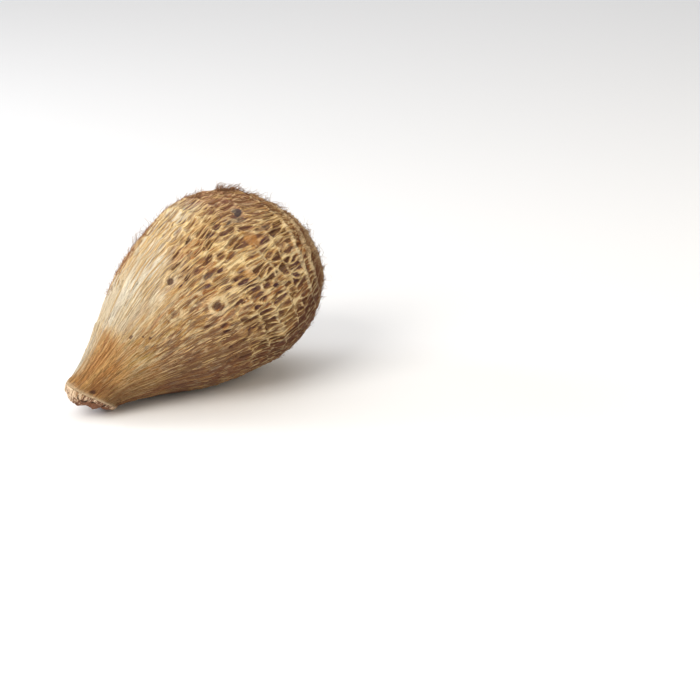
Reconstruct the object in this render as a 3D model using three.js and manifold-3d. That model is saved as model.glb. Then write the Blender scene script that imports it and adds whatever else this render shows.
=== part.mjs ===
// A whole taro corm, grown as one piece: a narrow neck with an oblique scar where it was broken
// from its parent, a wide rounded body ringed with leaf scars, coarse fibres and a blunt shaggy tip.
// Millimetres, +Z up. The corm lies on its belly along X, its neck towards -X and its tip towards
// +X and tilted up. It rests on the plane z = 0.
import * as THREE from 'three';
import { mergeVertices } from 'three/addons/utils/BufferGeometryUtils.js';
import Module from 'manifold-3d';

// Driving dimensions of the body.
const LENGTH = 136;
const BELLY_RADIUS = 44;
const BELLY_AT = 0.67;
const AXIS_TILT = THREE.MathUtils.degToRad(22.8);
const AXIS_BOW = 3.8;
const AXIS_SWAY = 1.0;
const AXIS_START = new THREE.Vector3(-63.9, -1.1, 8.1);

// Radius at places along the axis, both as shares of the whole, from the neck to the belly.
const NECK_PROFILE = [
  [0.0, 0.233], [0.06, 0.279], [0.14, 0.380], [0.24, 0.552],
  [0.36, 0.755], [0.48, 0.894], [0.59, 0.967], [BELLY_AT, 1.0],
];
const SHOULDER_POWER = 1.9;
const SHOULDER_ROOT = 2.08;
const TIP_HEIGHT = 2.6;
const TIP_RADIUS = 5.5;

// The oblique scar at the neck: the middle of its face along the axis, how steeply it is cut back,
// and towards which side.
const SCAR_START = 4.4;
const SCAR_SLOPE = 0.72;
const SCAR_SIDE = THREE.MathUtils.degToRad(280);
const SCAR_BLEND = 0.2;
const SCAR_BLEND_POWER = 1.5;
const SCAR_DOME = 5.6;
const SCAR_DOME_SIDE = THREE.MathUtils.degToRad(95);
const SCAR_DOME_LEAN = 0.55;
const SCAR_LUMP = 1.3;
const SCAR_LUMPS = 5;
const SCAR_LUMP_TWIST = 6;
const SCAR_LUMP_RINGS = 9;
const SCAR_LUMP_FADE = 4;
const SCAR_STEPS = [0, 0.3, 0.58, 0.84];
const LIP_FLARE = 0.7;
const LIP_REACH = 0.016;
const TIP_ROWS = [0.984, 0.996];

// Leaf scars: rings at shares of the length. Those on the body carry ribs between them.
const NECK_RINGS = [0.06, 0.125, 0.2, 0.28, 0.36];
const BODY_RINGS = [0.44, 0.513, 0.588, 0.657, 0.727, 0.797, 0.866, 0.922, 0.962];
const RING_HEIGHT = 0.55;
const RING_AT_NECK = 0.45;
const RING_NARROW = 0.16;
const RING_WIDE = 0.74;

// Waves round the body: height in mm, number of turns, shift, and drift over the whole length.
// The first kind moves a ring along the body, and the second swells the body outwards.
const STRAYS = [
  { height: 1.3, turns: 2, shift: 0.4, drift: 0 },
  { height: 0.5, turns: 5, shift: 0, drift: 9 },
];
const SWELLS = [
  { height: 0.6, turns: 2, shift: 1.1, drift: 3 },
  { height: 0.42, turns: 3, shift: -2, drift: 7 },
];

// Ribs of old leaf-base fibre, with slits between them. Neighbouring bands are set half a pitch
// apart, as in brickwork.
const RIBS = 56;
const SEGMENTS = RIBS * 2;
const RIB_HEIGHT = 0.4;
const SLIT_DEPTH = 0.95;
const RIB_FADE = [0.08, 0.6];
const RIB_AT_RING = 0.25;
const RIB_VARY = 0.25;
const RIB_VARY_SLOW = { turns: 3, shift: -1 };
const RIB_VARY_QUICK = { turns: 7, shift: 11 };

// Bud scars: place along the axis, angle round it in degrees, radius, dimple depth, rim height.
const EYES = [
  { along: 0.50, angle: 157, radius: 4.2, dimple: 2.4, rim: 0.9 },
  { along: 0.44, angle: 121, radius: 3.8, dimple: 2.2, rim: 0.6 },
  { along: 0.36, angle: 142, radius: 3.8, dimple: 1.8, rim: 0.6 },
  { along: 0.57, angle: 20, radius: 4.2, dimple: 2.2, rim: 0.9 },
  { along: 0.47, angle: 338, radius: 3.8, dimple: 2.0, rim: 0.6 },
  { along: 0.67, angle: 65, radius: 4.2, dimple: 2.2, rim: 0.8 },
];
const EYE_RIM_SPREAD = 0.12;
const EYE_DIMPLE_SPREAD = 0.45;

// The settled spot under the weight, where the flat rest is.
const SPOT = { along: 0.55, angle: 270, swell: 3.0, length: 0.13, width: 23 };
const FLOOR_CUT = 300;

// Coarse fibres: bent, tapering, three-sided, rooted well inside the body.
const FIBRE_SEED = 20260;
const FIBRE_RADIUS = 0.55;
const FIBRE_SIDES = 3;
const FIBRE_STEPS = 2;
const FIBRE_SINK = 2.2;
const FIBRE_LENGTH = [7, 11];
const RING_FIBRES = { count: 5, stray: 0.8, lift: [0.15, 0.45], bend: 2.5, ahead: 0.02 };
const TIP_FIBRES = { count: 14, stray: 0.7, lift: [0.35, 0.85], bend: 1.5, shorter: 0.7 };
const TIP_FIBRE_PLACE = [0.965, 0.995];
const TIP_AIM_FROM = 0.96;
const UNDERSIDE = { from: 205, to: 335 };

const SKIN_COLOUR = 0xb98f5c;
const SKIN_ROUGHNESS = 0.85;

// A repeatable run of numbers: each is the last, multiplied, shifted and wrapped.
const RUN_TIMES = 1664525;
const RUN_SHIFT = 1013904223;
const RUN_WRAP = 2 ** 32;

const TAU = Math.PI * 2;
const FINE = 1e-4;

const wasm = await Module();
wasm.setup();

/** A repeatable run of numbers from 0 to 1. */
function seeded(seed) {
  let state = seed;
  return () => {
    state = (state * RUN_TIMES + RUN_SHIFT) % RUN_WRAP;
    return state / RUN_WRAP;
  };
}

/** Smooth curve through points [x, y], level at its last point and straight before its first. */
function curveThrough(points, x) {
  const last = points.length - 1;
  const slopeAt = (i) => {
    if (i === last) return 0;
    const before = points[Math.max(i - 1, 0)];
    const after = points[i + 1];
    return (after[1] - before[1]) / (after[0] - before[0]);
  };
  if (x < points[0][0]) return points[0][1] + slopeAt(0) * (x - points[0][0]);
  let i = 0;
  while (i < last - 1 && x > points[i + 1][0]) i += 1;
  const [x0, y0] = points[i];
  const [x1, y1] = points[i + 1];
  const step = x1 - x0;
  const u = THREE.MathUtils.clamp((x - x0) / step, 0, 1);
  const rise = y0 + (y1 - y0) * THREE.MathUtils.smoothstep(u, 0, 1);
  const lean = u * (1 - u) * step * ((1 - u) * slopeAt(i) - u * slopeAt(i + 1));
  return rise + lean;
}

/** Radius of the smooth body at a share of its length. */
function bodyRadius(share) {
  if (share <= BELLY_AT) return BELLY_RADIUS * curveThrough(NECK_PROFILE, share);
  const shoulder = Math.min((share - BELLY_AT) / (1 - BELLY_AT), 1);
  return BELLY_RADIUS * (1 - shoulder ** SHOULDER_POWER) ** (1 / SHOULDER_ROOT);
}

/** Shortest signed turn from one angle to another, in radians. */
function turn(from, to) {
  return Math.atan2(Math.sin(to - from), Math.cos(to - from));
}

/** Sum of waves round the body, in mm, fading to nothing at both ends of the body. */
function waves(kinds, share, angle) {
  const sum = kinds.reduce(
    (total, wave) => total + wave.height * Math.sin(wave.turns * angle + wave.shift + wave.drift * share),
    0,
  );
  return sum * Math.sin(Math.PI * share);
}

/** Rings, ribs and slits between them, in mm outwards from the smooth body. */
function scarRelief(share, angle) {
  const ribShare = THREE.MathUtils.smoothstep(share, ...RIB_FADE);
  const rings = [...NECK_RINGS, ...BODY_RINGS, 1];
  const band = rings.findIndex((ring) => share < ring - FINE);
  if (band < 1) return 0;
  const within = (share - rings[band - 1]) / (rings[band] - rings[band - 1]);
  const crest = within < FINE ? 1 : 0;
  const ringHeight = RING_HEIGHT * THREE.MathUtils.lerp(RING_AT_NECK, 1, ribShare);
  const wave = Math.cos(angle * RIBS + band * Math.PI);
  const height = wave > 0 ? RIB_HEIGHT * wave : SLIT_DEPTH * wave;
  const quick = Math.sin(RIB_VARY_QUICK.turns * angle + RIB_VARY_QUICK.shift * band);
  const slow = Math.sin(RIB_VARY_SLOW.turns * angle + RIB_VARY_SLOW.shift * band);
  const vary = 1 - RIB_VARY + RIB_VARY * quick * slow;
  const ribs = THREE.MathUtils.lerp(1, RIB_AT_RING, crest) * ribShare * vary * height;
  return crest * ringHeight + ribs;
}

/** One bud scar: a dimple with a raised rim. */
function eyeRelief(eye, share, angle) {
  const across = turn(THREE.MathUtils.degToRad(eye.angle), angle) * bodyRadius(share);
  const far = Math.hypot(across, (share - eye.along) * LENGTH) / eye.radius;
  const rim = eye.rim * Math.exp(-((far - 1) ** 2) / EYE_RIM_SPREAD);
  return rim - eye.dimple * Math.exp(-(far ** 2) / EYE_DIMPLE_SPREAD);
}

/** How much a place belongs to the low swelling that the corm settles on, from 0 to 1. */
function restShare(share, angle) {
  const width = THREE.MathUtils.degToRad(SPOT.width);
  const across = turn(THREE.MathUtils.degToRad(SPOT.angle), angle) / width;
  const along = (share - SPOT.along) / SPOT.length;
  return Math.exp(-(across ** 2) - along ** 2);
}

/** Point on the corm's curved axis. */
function axisPoint(along) {
  const share = THREE.MathUtils.clamp(along / LENGTH, 0, 1);
  const arch = 4 * share * (1 - share);
  const rise = AXIS_BOW * arch;
  return new THREE.Vector3(
    along * Math.cos(AXIS_TILT) - rise * Math.sin(AXIS_TILT),
    AXIS_SWAY * arch,
    along * Math.sin(AXIS_TILT) + rise * Math.cos(AXIS_TILT),
  ).add(AXIS_START);
}

/** Direction away from the axis at an angle: 0 towards +Y, 90 degrees upwards. */
function outward(angle) {
  const up = Math.sin(angle);
  return new THREE.Vector3(
    -up * Math.sin(AXIS_TILT),
    Math.cos(angle),
    up * Math.cos(AXIS_TILT),
  );
}

/** Distance along the axis of the scar's slanted plane, at a share of the way out to its lip. */
function scarPlane(out, angle) {
  return SCAR_START + SCAR_SLOPE * out * bodyRadius(0) * Math.cos(angle - SCAR_SIDE);
}

/** A point of the side, from its share of the length and its angle round the axis. */
function sidePoint(share, angle) {
  const blend = THREE.MathUtils.clamp(1 - share / SCAR_BLEND, 0, 1) ** SCAR_BLEND_POWER;
  const lip = LIP_FLARE * Math.exp(-((share / LIP_REACH) ** 2));
  const around = share < 1 ? 1 : 0;
  const along = share * LENGTH + scarPlane(1, angle) * blend + waves(STRAYS, share, angle);
  const smooth = bodyRadius(share < SCAR_BLEND ? along / LENGTH : share);
  const rest = restShare(share, angle);
  const eyes = EYES.reduce((sum, eye) => sum + eyeRelief(eye, share, angle), 0);
  const scars = scarRelief(share, angle) * (1 - rest);
  const relief = scars + waves(SWELLS, share, angle) + eyes + SPOT.swell * rest;
  const radius = smooth + (lip + relief) * around;
  const tip = TIP_HEIGHT * Math.exp(-((smooth / TIP_RADIUS) ** 2)) * (share > BELLY_AT ? 1 : 0);
  return axisPoint(along + tip).addScaledVector(outward(angle), Math.max(radius, 0));
}

/** A point of the scar's corky face, from its share of the way out to the lip. */
function scarPoint(out, angle) {
  const radius = out * (bodyRadius(scarPlane(1, angle) / LENGTH) + LIP_FLARE);
  const lumps = Math.sin(SCAR_LUMPS * angle + SCAR_LUMP_TWIST * out)
    * Math.sin(SCAR_LUMP_RINGS * out + angle);
  const lean = 1 + SCAR_DOME_LEAN * out * Math.cos(angle - SCAR_DOME_SIDE);
  const dome = SCAR_DOME * lean * Math.sqrt(1 - out * out);
  const proud = dome + SCAR_LUMP * lumps * out * (1 - out ** SCAR_LUMP_FADE);
  const forward = axisPoint(0).sub(axisPoint(1));
  const facing = forward.addScaledVector(outward(SCAR_SIDE), SCAR_SLOPE).normalize();
  const flat = axisPoint(scarPlane(out, angle)).addScaledVector(outward(angle), radius);
  return flat.addScaledVector(facing, proud);
}

/** Shares of the length at which the side has a row of points. */
function sideRows() {
  const rows = [0, LIP_REACH];
  const rings = [...NECK_RINGS, ...BODY_RINGS, 1];
  rings.slice(0, -1).forEach((ring, i) => {
    const gap = rings[i + 1] - ring;
    rows.push(ring);
    if (i < NECK_RINGS.length) {
      rows.push(ring + gap / 2);
    } else {
      rows.push(ring + gap * RING_NARROW, ring + gap * RING_WIDE);
    }
  });
  return [...rows, ...TIP_ROWS, 1];
}

/** The body without fibres: a lathe surface whose points are moved to the grown shape. */
function bodyGeometry() {
  const rows = sideRows();
  const faceProfile = SCAR_STEPS.map((out) => new THREE.Vector2(out, -1));
  const sideProfile = rows.map((share) => new THREE.Vector2(share < 1 ? 1 : 0, share));
  const geometry = new THREE.LatheGeometry([...faceProfile, ...sideProfile], SEGMENTS);
  const places = geometry.attributes.position;
  const count = SCAR_STEPS.length + rows.length;
  for (let i = 0; i < places.count; i += 1) {
    const step = i % count;
    const angle = (Math.floor(i / count) % SEGMENTS) * (TAU / SEGMENTS);
    const inFace = step < SCAR_STEPS.length;
    const point = inFace
      ? scarPoint(SCAR_STEPS[step], angle)
      : sidePoint(rows[step - SCAR_STEPS.length], angle);
    places.setXYZ(i, point.x, point.y, point.z);
  }
  return geometry;
}

/** A bent tapering fibre from a point inside the body along a direction. */
function fibreGeometry(root, direction, length, bend) {
  const whole = length + FIBRE_SINK;
  const geometry = new THREE.ConeGeometry(FIBRE_RADIUS, whole, FIBRE_SIDES, FIBRE_STEPS);
  geometry.translate(0, whole / 2 - FIBRE_SINK, 0);
  const places = geometry.attributes.position;
  for (let i = 0; i < places.count; i += 1) {
    const far = Math.max(places.getY(i), 0) / length;
    places.setX(i, places.getX(i) + bend * far * far);
  }
  const upright = new THREE.Vector3(0, 1, 0);
  geometry.applyQuaternion(new THREE.Quaternion().setFromUnitVectors(upright, direction));
  geometry.translate(root.x, root.y, root.z);
  return geometry;
}

/** Fibres left at the leaf scars, lying towards the tip, none on the side that rests. */
function ringFibres(random) {
  const fibres = [];
  const under = (degrees) => degrees > UNDERSIDE.from && degrees < UNDERSIDE.to;
  BODY_RINGS.forEach((ring) => {
    for (let i = 0; i < RING_FIBRES.count; i += 1) {
      const angle = (TAU * (i + RING_FIBRES.stray * random())) / RING_FIBRES.count;
      const length = THREE.MathUtils.lerp(...FIBRE_LENGTH, random());
      const lift = THREE.MathUtils.lerp(...RING_FIBRES.lift, random());
      const bend = THREE.MathUtils.lerp(-RING_FIBRES.bend, RING_FIBRES.bend, random());
      if (under(THREE.MathUtils.radToDeg(angle))) continue;
      const root = sidePoint(ring, angle);
      const onward = sidePoint(ring + RING_FIBRES.ahead, angle).sub(root).normalize();
      const direction = onward.addScaledVector(outward(angle), lift).normalize();
      fibres.push(fibreGeometry(root, direction, length, bend));
    }
  });
  return fibres;
}

/** The shaggy tuft round the blunt tip. */
function tipFibres(random) {
  const fibres = [];
  const forward = axisPoint(LENGTH).sub(axisPoint(LENGTH * TIP_AIM_FROM)).normalize();
  for (let i = 0; i < TIP_FIBRES.count; i += 1) {
    const angle = (TAU * (i + TIP_FIBRES.stray * random())) / TIP_FIBRES.count;
    const root = sidePoint(THREE.MathUtils.lerp(...TIP_FIBRE_PLACE, random()), angle);
    const lift = THREE.MathUtils.lerp(...TIP_FIBRES.lift, random());
    const direction = forward.clone().addScaledVector(outward(angle), lift).normalize();
    const length = THREE.MathUtils.lerp(...FIBRE_LENGTH, random()) * TIP_FIBRES.shorter;
    const bend = THREE.MathUtils.lerp(-TIP_FIBRES.bend, TIP_FIBRES.bend, random());
    fibres.push(fibreGeometry(root, direction, length, bend));
  }
  return fibres;
}

/** A closed geometry as a solid that can be joined and cut. */
function solidOf(geometry) {
  geometry.deleteAttribute('uv');
  geometry.deleteAttribute('normal');
  const merged = mergeVertices(geometry, FINE);
  const corners = merged.index.array;
  const kept = [];
  for (let i = 0; i < corners.length; i += 3) {
    const [a, b, c] = corners.slice(i, i + 3);
    if (a !== b && b !== c && c !== a) kept.push(a, b, c);
  }
  const vertProperties = new Float32Array(merged.attributes.position.array);
  const triVerts = new Uint32Array(kept);
  return new wasm.Manifold(new wasm.Mesh({ numProp: 3, vertProperties, triVerts }));
}

/** A solid as a geometry. */
function geometryOf(solid) {
  const { vertProperties, triVerts } = solid.getMesh();
  const geometry = new THREE.BufferGeometry();
  geometry.setAttribute('position', new THREE.BufferAttribute(vertProperties, 3));
  geometry.setIndex(new THREE.BufferAttribute(triVerts, 1));
  geometry.computeVertexNormals();
  return geometry;
}

/** The whole corm: body and fibres in one piece, cut flat where it rests. */
function cormGeometry() {
  const random = seeded(FIBRE_SEED);
  const fibres = [...ringFibres(random), ...tipFibres(random)];
  const hairy = fibres.reduce((body, fibre) => body.add(solidOf(fibre)), solidOf(bodyGeometry()));
  const floor = new THREE.BoxGeometry(FLOOR_CUT, FLOOR_CUT, FLOOR_CUT);
  floor.translate(0, 0, -FLOOR_CUT / 2);
  return geometryOf(hairy.subtract(solidOf(floor)));
}

const skin = new THREE.MeshStandardMaterial({
  color: SKIN_COLOUR,
  roughness: SKIN_ROUGHNESS,
  metalness: 0,
});
const corm = new THREE.Mesh(cormGeometry(), skin);
corm.name = 'corm';

const taro = new THREE.Group();
taro.add(corm);

export default taro;
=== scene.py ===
"""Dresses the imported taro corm: fine skin, raised strands, loose hairs, a plain studio and a camera.

The corm's solid has the main form with ribs and fibres larger than life. Here its one node is
replaced by a skin with rings of leaf scars, slit cells between pale ridges, bud scars and a corky
neck scar, all worked out as a function of the share of the length and the angle round the axis.
Lengths are in millimetres until a mesh is made, and angles are in radians unless named otherwise.
"""

import logging
import math
from dataclasses import dataclass, field
from enum import Enum
from typing import Any

import bpy
import numpy as np
from mathutils import Matrix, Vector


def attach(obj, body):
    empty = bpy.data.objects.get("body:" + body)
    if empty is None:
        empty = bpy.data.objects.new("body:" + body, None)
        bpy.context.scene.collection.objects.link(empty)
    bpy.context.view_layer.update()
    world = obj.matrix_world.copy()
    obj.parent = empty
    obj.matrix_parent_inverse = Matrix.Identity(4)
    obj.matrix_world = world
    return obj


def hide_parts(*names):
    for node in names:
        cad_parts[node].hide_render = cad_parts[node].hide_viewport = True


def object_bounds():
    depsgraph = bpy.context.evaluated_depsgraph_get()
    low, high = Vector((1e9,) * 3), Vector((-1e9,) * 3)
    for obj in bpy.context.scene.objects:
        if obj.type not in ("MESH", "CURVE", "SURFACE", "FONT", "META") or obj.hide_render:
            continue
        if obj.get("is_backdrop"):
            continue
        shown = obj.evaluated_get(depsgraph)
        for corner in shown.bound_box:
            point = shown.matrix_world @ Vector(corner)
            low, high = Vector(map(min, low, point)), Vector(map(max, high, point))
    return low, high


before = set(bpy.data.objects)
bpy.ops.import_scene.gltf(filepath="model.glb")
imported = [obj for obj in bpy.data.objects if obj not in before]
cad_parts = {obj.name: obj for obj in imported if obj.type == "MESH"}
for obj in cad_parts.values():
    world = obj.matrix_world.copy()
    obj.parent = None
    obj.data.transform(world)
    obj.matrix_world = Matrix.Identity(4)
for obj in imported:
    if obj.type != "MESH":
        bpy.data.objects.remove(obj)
CAD_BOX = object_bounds()

LOG = logging.getLogger("taro")
MM = 0.001
TAU = 2 * math.pi
TINY = 1e-6
NOISE_MIDDLE = 0.5
BODY = "root"
NODE = "corm"

# Inputs of the Mix node for the colour below and the colour laid on it, and its colour output.
MIX_BELOW, MIX_LAID, MIX_OUT = 6, 7, 2

Span = tuple[float, float]
Arc = tuple[float, float, float, float]

# The arc of the lower side in degrees, and the bell of the side where rings are boldest: its
# middle in degrees and its width in radians.
LOWER: Arc = (98, 170, 305, 352)
FACING: Span = (162, 0.6)


class Slot(Enum):
    """Material slots of the record."""

    SKIN = "skin"
    FIBRE = "fibre"


def linear(hex_colour: str) -> tuple[float, float, float, float]:
    """Turns an sRGB hex colour into linear RGBA.

    Args:
        hex_colour: Six hex digits after a hash sign.

    Returns:
        Red, green, blue and an alpha of one.
    """
    parts = [int(hex_colour[i:i + 2], 16) / 255 for i in (1, 3, 5)]
    red, green, blue = [
        part / 12.92 if part <= 0.04045 else ((part + 0.055) / 1.055) ** 2.4 for part in parts
    ]
    return red, green, blue, 1.0


def add_node(
    tree: bpy.types.NodeTree, kind: str, feeds: dict[Any, Any] | None = None, **settings: Any
) -> bpy.types.Node:
    """Adds a node with its settings and links.

    Args:
        tree: Node tree that the node goes into.
        kind: Blender's type name of the node.
        feeds: For each input, by name or number, the socket that feeds it or its value.
        settings: Properties of the node.

    Returns:
        The new node.
    """
    node = tree.nodes.new(kind)
    for name, value in settings.items():
        setattr(node, name, value)
    for name, value in (feeds or {}).items():
        if isinstance(value, bpy.types.NodeSocket):
            tree.links.new(value, node.inputs[name])
        else:
            node.inputs[name].default_value = value
    return node


def smooth(low: float | np.ndarray, high: float | np.ndarray, value: np.ndarray) -> np.ndarray:
    """Smooth step from 0 at low to 1 at high, level at both: u times u times (3 - 2u)."""
    u = np.clip((value - low) / (high - low), 0.0, 1.0)
    return u * u * (3 - 2 * u)


def turn(start: float, angle: np.ndarray) -> np.ndarray:
    """Shortest signed turn from start to each angle."""
    return np.arctan2(np.sin(angle - start), np.cos(angle - start))


def unit(vectors: np.ndarray) -> np.ndarray:
    """Vectors of the same directions with a length of one."""
    return vectors / np.maximum(np.linalg.norm(vectors, axis=-1, keepdims=True), TINY)


def bell(value: np.ndarray, middle: float, width: float) -> np.ndarray:
    """Bell curve: 1 at the middle and 1/e a width away on both sides."""
    return np.exp(-((value - middle) / width) ** 2)


def arc(angle: np.ndarray, start: float, full: float, fade: float, end: float) -> np.ndarray:
    """Weight of an arc round the axis: smooth steps up from start to full and down from fade to end.

    Args:
        angle: Angle round the axis.
        start: Where the weight starts to rise, in degrees as are the next three.
        full: Where it reaches 1.
        fade: Where it starts to fall, past 360 if the arc runs over the back.
        end: Where it is 0 again, less than a whole turn past the start.

    Returns:
        Weights from 0 to 1.
    """
    degrees = (np.degrees(angle) - start) % 360 + start
    return smooth(start, full, degrees) * smooth(end, fade, degrees)


@dataclass(frozen=True)
class Zone:
    """A part of the skin: a weight that is a product of smooth windows, plus a base.

    Args:
        strength: What the windows are multiplied by.
        steps: Smooth steps along the length, by the shares where each is 0 and where it is 1.
        along: Middle and width of a bell along the length, as shares.
        arc: Four angles of an arc round the axis, in degrees.
        side: Middle in degrees, and width in radians, of a bell round the axis.
        base: What is added to the product.
    """

    strength: float = 1.0
    steps: tuple[Span, ...] = ()
    along: Span | None = None
    arc: Arc | None = None
    side: Span | None = None
    base: float = 0.0

    def at(self, share: np.ndarray, angle: np.ndarray) -> np.ndarray:
        """Weight of the zone: the base plus the strength times every window.

        Args:
            share: Share of the length.
            angle: Angle round the axis.

        Returns:
            An array of weights.
        """
        weight = self.strength * np.ones_like(share)
        for low, high in self.steps:
            weight = weight * smooth(low, high, share)
        if self.along:
            weight = weight * bell(share, *self.along)
        if self.arc:
            weight = weight * arc(angle, *self.arc)
        if self.side:
            middle, width = self.side
            weight = weight * bell(turn(math.radians(middle), angle), 0.0, width)
        return self.base + weight


@dataclass(frozen=True)
class Wave:
    """A wave round the axis: its height, its turns, its twist with the share and its start."""

    height: float
    turns: int
    twist: float
    start: float

    def at(self, share: np.ndarray, angle: np.ndarray) -> np.ndarray:
        """Height times the sine of the turned angle plus the twist and the start."""
        return self.height * np.sin(self.turns * angle + self.twist * share + self.start)


@dataclass(frozen=True)
class Grain:
    """A smooth random field on the skin, from -1 to 1, seamless round the axis.

    A table of seeded random numbers stands on a grid of cells, and the field blends the four
    nearest numbers by smooth steps.

    Args:
        around: Cells round the axis.
        length: Length of a cell along the axis.
        seed: Seed of the table.
        before: How far the table starts before the neck, in millimetres.
        span: Length of the whole table, in millimetres.
        spare: Rows of the table beyond that length.
    """

    around: int
    length: float
    seed: int
    before: float = 40.0
    span: float = 240.0
    spare: int = 3

    def at(self, along: np.ndarray, angle: np.ndarray) -> np.ndarray:
        """Value of the field.

        Args:
            along: Distance along the axis.
            angle: Angle round the axis.

        Returns:
            An array of the field's values.
        """
        rows = int(self.span / self.length) + self.spare
        table = np.random.default_rng(self.seed).uniform(-1, 1, (self.around, rows))
        across = (angle / TAU * self.around) % self.around
        down = np.clip((along + self.before) / self.length, 0, rows - 1 - TINY)
        column = np.floor(across).astype(int) % self.around
        row = np.floor(down).astype(int)
        u = smooth(0, 1, across - np.floor(across))
        v = smooth(0, 1, down - row)
        onward = (column + 1) % self.around
        near = table[column, row] * (1 - u) + table[onward, row] * u
        far = table[column, row + 1] * (1 - u) + table[onward, row + 1] * u
        return near * (1 - v) + far * v


@dataclass(frozen=True)
class Grains:
    """A sum of grains, each with its own strength."""

    parts: tuple[tuple[float, Grain], ...]

    def at(self, along: np.ndarray, angle: np.ndarray) -> np.ndarray:
        """Value of the sum at places given by distance along the axis and angle round it."""
        return sum(strength * grain.at(along, angle) for strength, grain in self.parts)


@dataclass(frozen=True)
class Form:
    """The smooth grown shape of the corm, from the same driving dimensions as its solid.

    A curved axis runs from the neck to the tip. A point of the side stands off the axis by a
    radius that follows a smooth curve up to the belly and the root of a power curve beyond it.
    """

    length: float = 136.0
    belly_radius: float = 44.0
    belly_at: float = 0.67
    tilt: float = math.radians(22.8)
    bow: float = 3.8
    sway: float = 1.0
    start: tuple[float, float, float] = (-63.9, -1.1, 8.1)
    profile_at: tuple[float, ...] = (0.0, 0.06, 0.14, 0.24, 0.36, 0.48, 0.59, 0.67)
    profile: tuple[float, ...] = (0.233, 0.279, 0.380, 0.552, 0.755, 0.894, 0.967, 1.0)
    shoulder_power: float = 1.9
    shoulder_root: float = 2.08
    tip_height: float = 2.6
    tip_radius: float = 5.5
    scar_start: float = 4.4
    scar_slope: float = 0.72
    scar_side: float = math.radians(280)
    scar_blend: float = 0.2
    lip_flare: float = 0.7
    lip_reach: float = 0.016
    scar_fade: float = 1.5
    strays: tuple[Wave, ...] = (Wave(1.3, 2, 0, 0.4), Wave(0.5, 5, 9, 0))
    swells: tuple[Wave, ...] = (Wave(0.6, 2, 3, 1.1), Wave(0.42, 3, 7, -2))
    swell_lead: float = 0.05
    tip_turn: Span = (0.86, 0.99)
    rest_at: float = 0.55
    rest_angle: float = math.radians(270)
    rest_swell: float = 3.0
    rest_length: float = 0.13
    rest_width: float = math.radians(23)

    def radius(self, share: np.ndarray) -> np.ndarray:
        """Radius of the smooth body.

        Cubic pieces join the profile's points, each leaving a point at the slope between its
        neighbours and level at the belly, straight before the first point. Beyond the belly the
        radius is the belly's times (1 - q ** power) ** (1 / root), where q is the share of the
        way from the belly to the tip.

        Args:
            share: Share of the length.

        Returns:
            Radii in millimetres.
        """
        at, value = np.array(self.profile_at), np.array(self.profile)
        before = np.r_[0, np.arange(len(at) - 2)]
        slope = np.r_[(value[1:] - value[before]) / (at[1:] - at[before]), 0.0]
        i = np.clip(np.searchsorted(at, share, side="right") - 1, 0, len(at) - 2)
        step = at[i + 1] - at[i]
        u = np.clip((share - at[i]) / step, 0, 1)
        rise = value[i] + (value[i + 1] - value[i]) * u * u * (3 - 2 * u)
        lean = u * (1 - u) * step * ((1 - u) * slope[i] - u * slope[i + 1])
        straight = np.minimum(share - at[0], 0) * slope[0]
        shoulder = np.clip((share - self.belly_at) / (1 - self.belly_at), 0, 1)
        cap = (1 - shoulder ** self.shoulder_power) ** (1 / self.shoulder_root)
        return self.belly_radius * np.where(share <= self.belly_at, rise + lean + straight, cap)

    def axis(self, along: np.ndarray) -> np.ndarray:
        """Points of the curved axis: a tilted line that arches up and sways to one side.

        Args:
            along: Distance along the axis.

        Returns:
            Points in millimetres, with a last axis of three.
        """
        share = np.clip(along / self.length, 0, 1)
        arch = 4 * share * (1 - share)
        rise = self.bow * arch
        x = along * math.cos(self.tilt) - rise * math.sin(self.tilt)
        z = along * math.sin(self.tilt) + rise * math.cos(self.tilt)
        return np.stack([x, self.sway * arch, z], -1) + np.array(self.start)

    def outward(self, angle: np.ndarray) -> np.ndarray:
        """Directions away from the axis: 0 is towards +Y and a quarter turn is upwards."""
        up = np.sin(angle)
        return np.stack([-up * math.sin(self.tilt), np.cos(angle), up * math.cos(self.tilt)], -1)

    def onward(self) -> np.ndarray:
        """Direction of the axis towards the tip."""
        return np.array([math.cos(self.tilt), 0.0, math.sin(self.tilt)])

    def scar_plane(self, out: np.ndarray, angle: np.ndarray) -> np.ndarray:
        """Distance along the axis of the scar's slanted plane, at a share of the way out."""
        base = float(self.radius(np.array(0.0)))
        return self.scar_start + self.scar_slope * out * base * np.cos(angle - self.scar_side)

    def stray(self, share: np.ndarray, angle: np.ndarray) -> np.ndarray:
        """How far rings stray along the axis: two waves round it, strongest at mid-length."""
        waves = sum(wave.at(share, angle) for wave in self.strays)
        return np.sin(np.pi * np.clip(share, 0, 1)) * waves

    def rest(self, share: np.ndarray, angle: np.ndarray) -> np.ndarray:
        """How much a place belongs to the low swelling that the corm settles on."""
        across = bell(turn(self.rest_angle, angle), 0.0, self.rest_width)
        return across * bell(share, self.rest_at, self.rest_length)

    def swell(self, share: np.ndarray, angle: np.ndarray) -> np.ndarray:
        """Slow swells: waves of two and three turns round the axis, and the settled belly.

        Args:
            share: Share of the length.
            angle: Angle round the axis.

        Returns:
            Heights in millimetres.
        """
        faded = np.sin(np.pi * np.minimum(share + self.swell_lead, 1))
        slow = faded * sum(wave.at(share, angle) for wave in self.swells)
        return slow + self.rest_swell * self.rest(share, angle)

    def along(self, share: np.ndarray, angle: np.ndarray) -> np.ndarray:
        """Distance along the axis of a place on the side, slanted at the neck by the scar.

        Args:
            share: Share of the length.
            angle: Angle round the axis.

        Returns:
            Distances in millimetres.
        """
        blend = np.clip(1 - share / self.scar_blend, 0, 1) ** self.scar_fade
        slant = self.scar_plane(np.ones_like(share), angle) * blend
        return share * self.length + slant + self.stray(share, angle)

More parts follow.
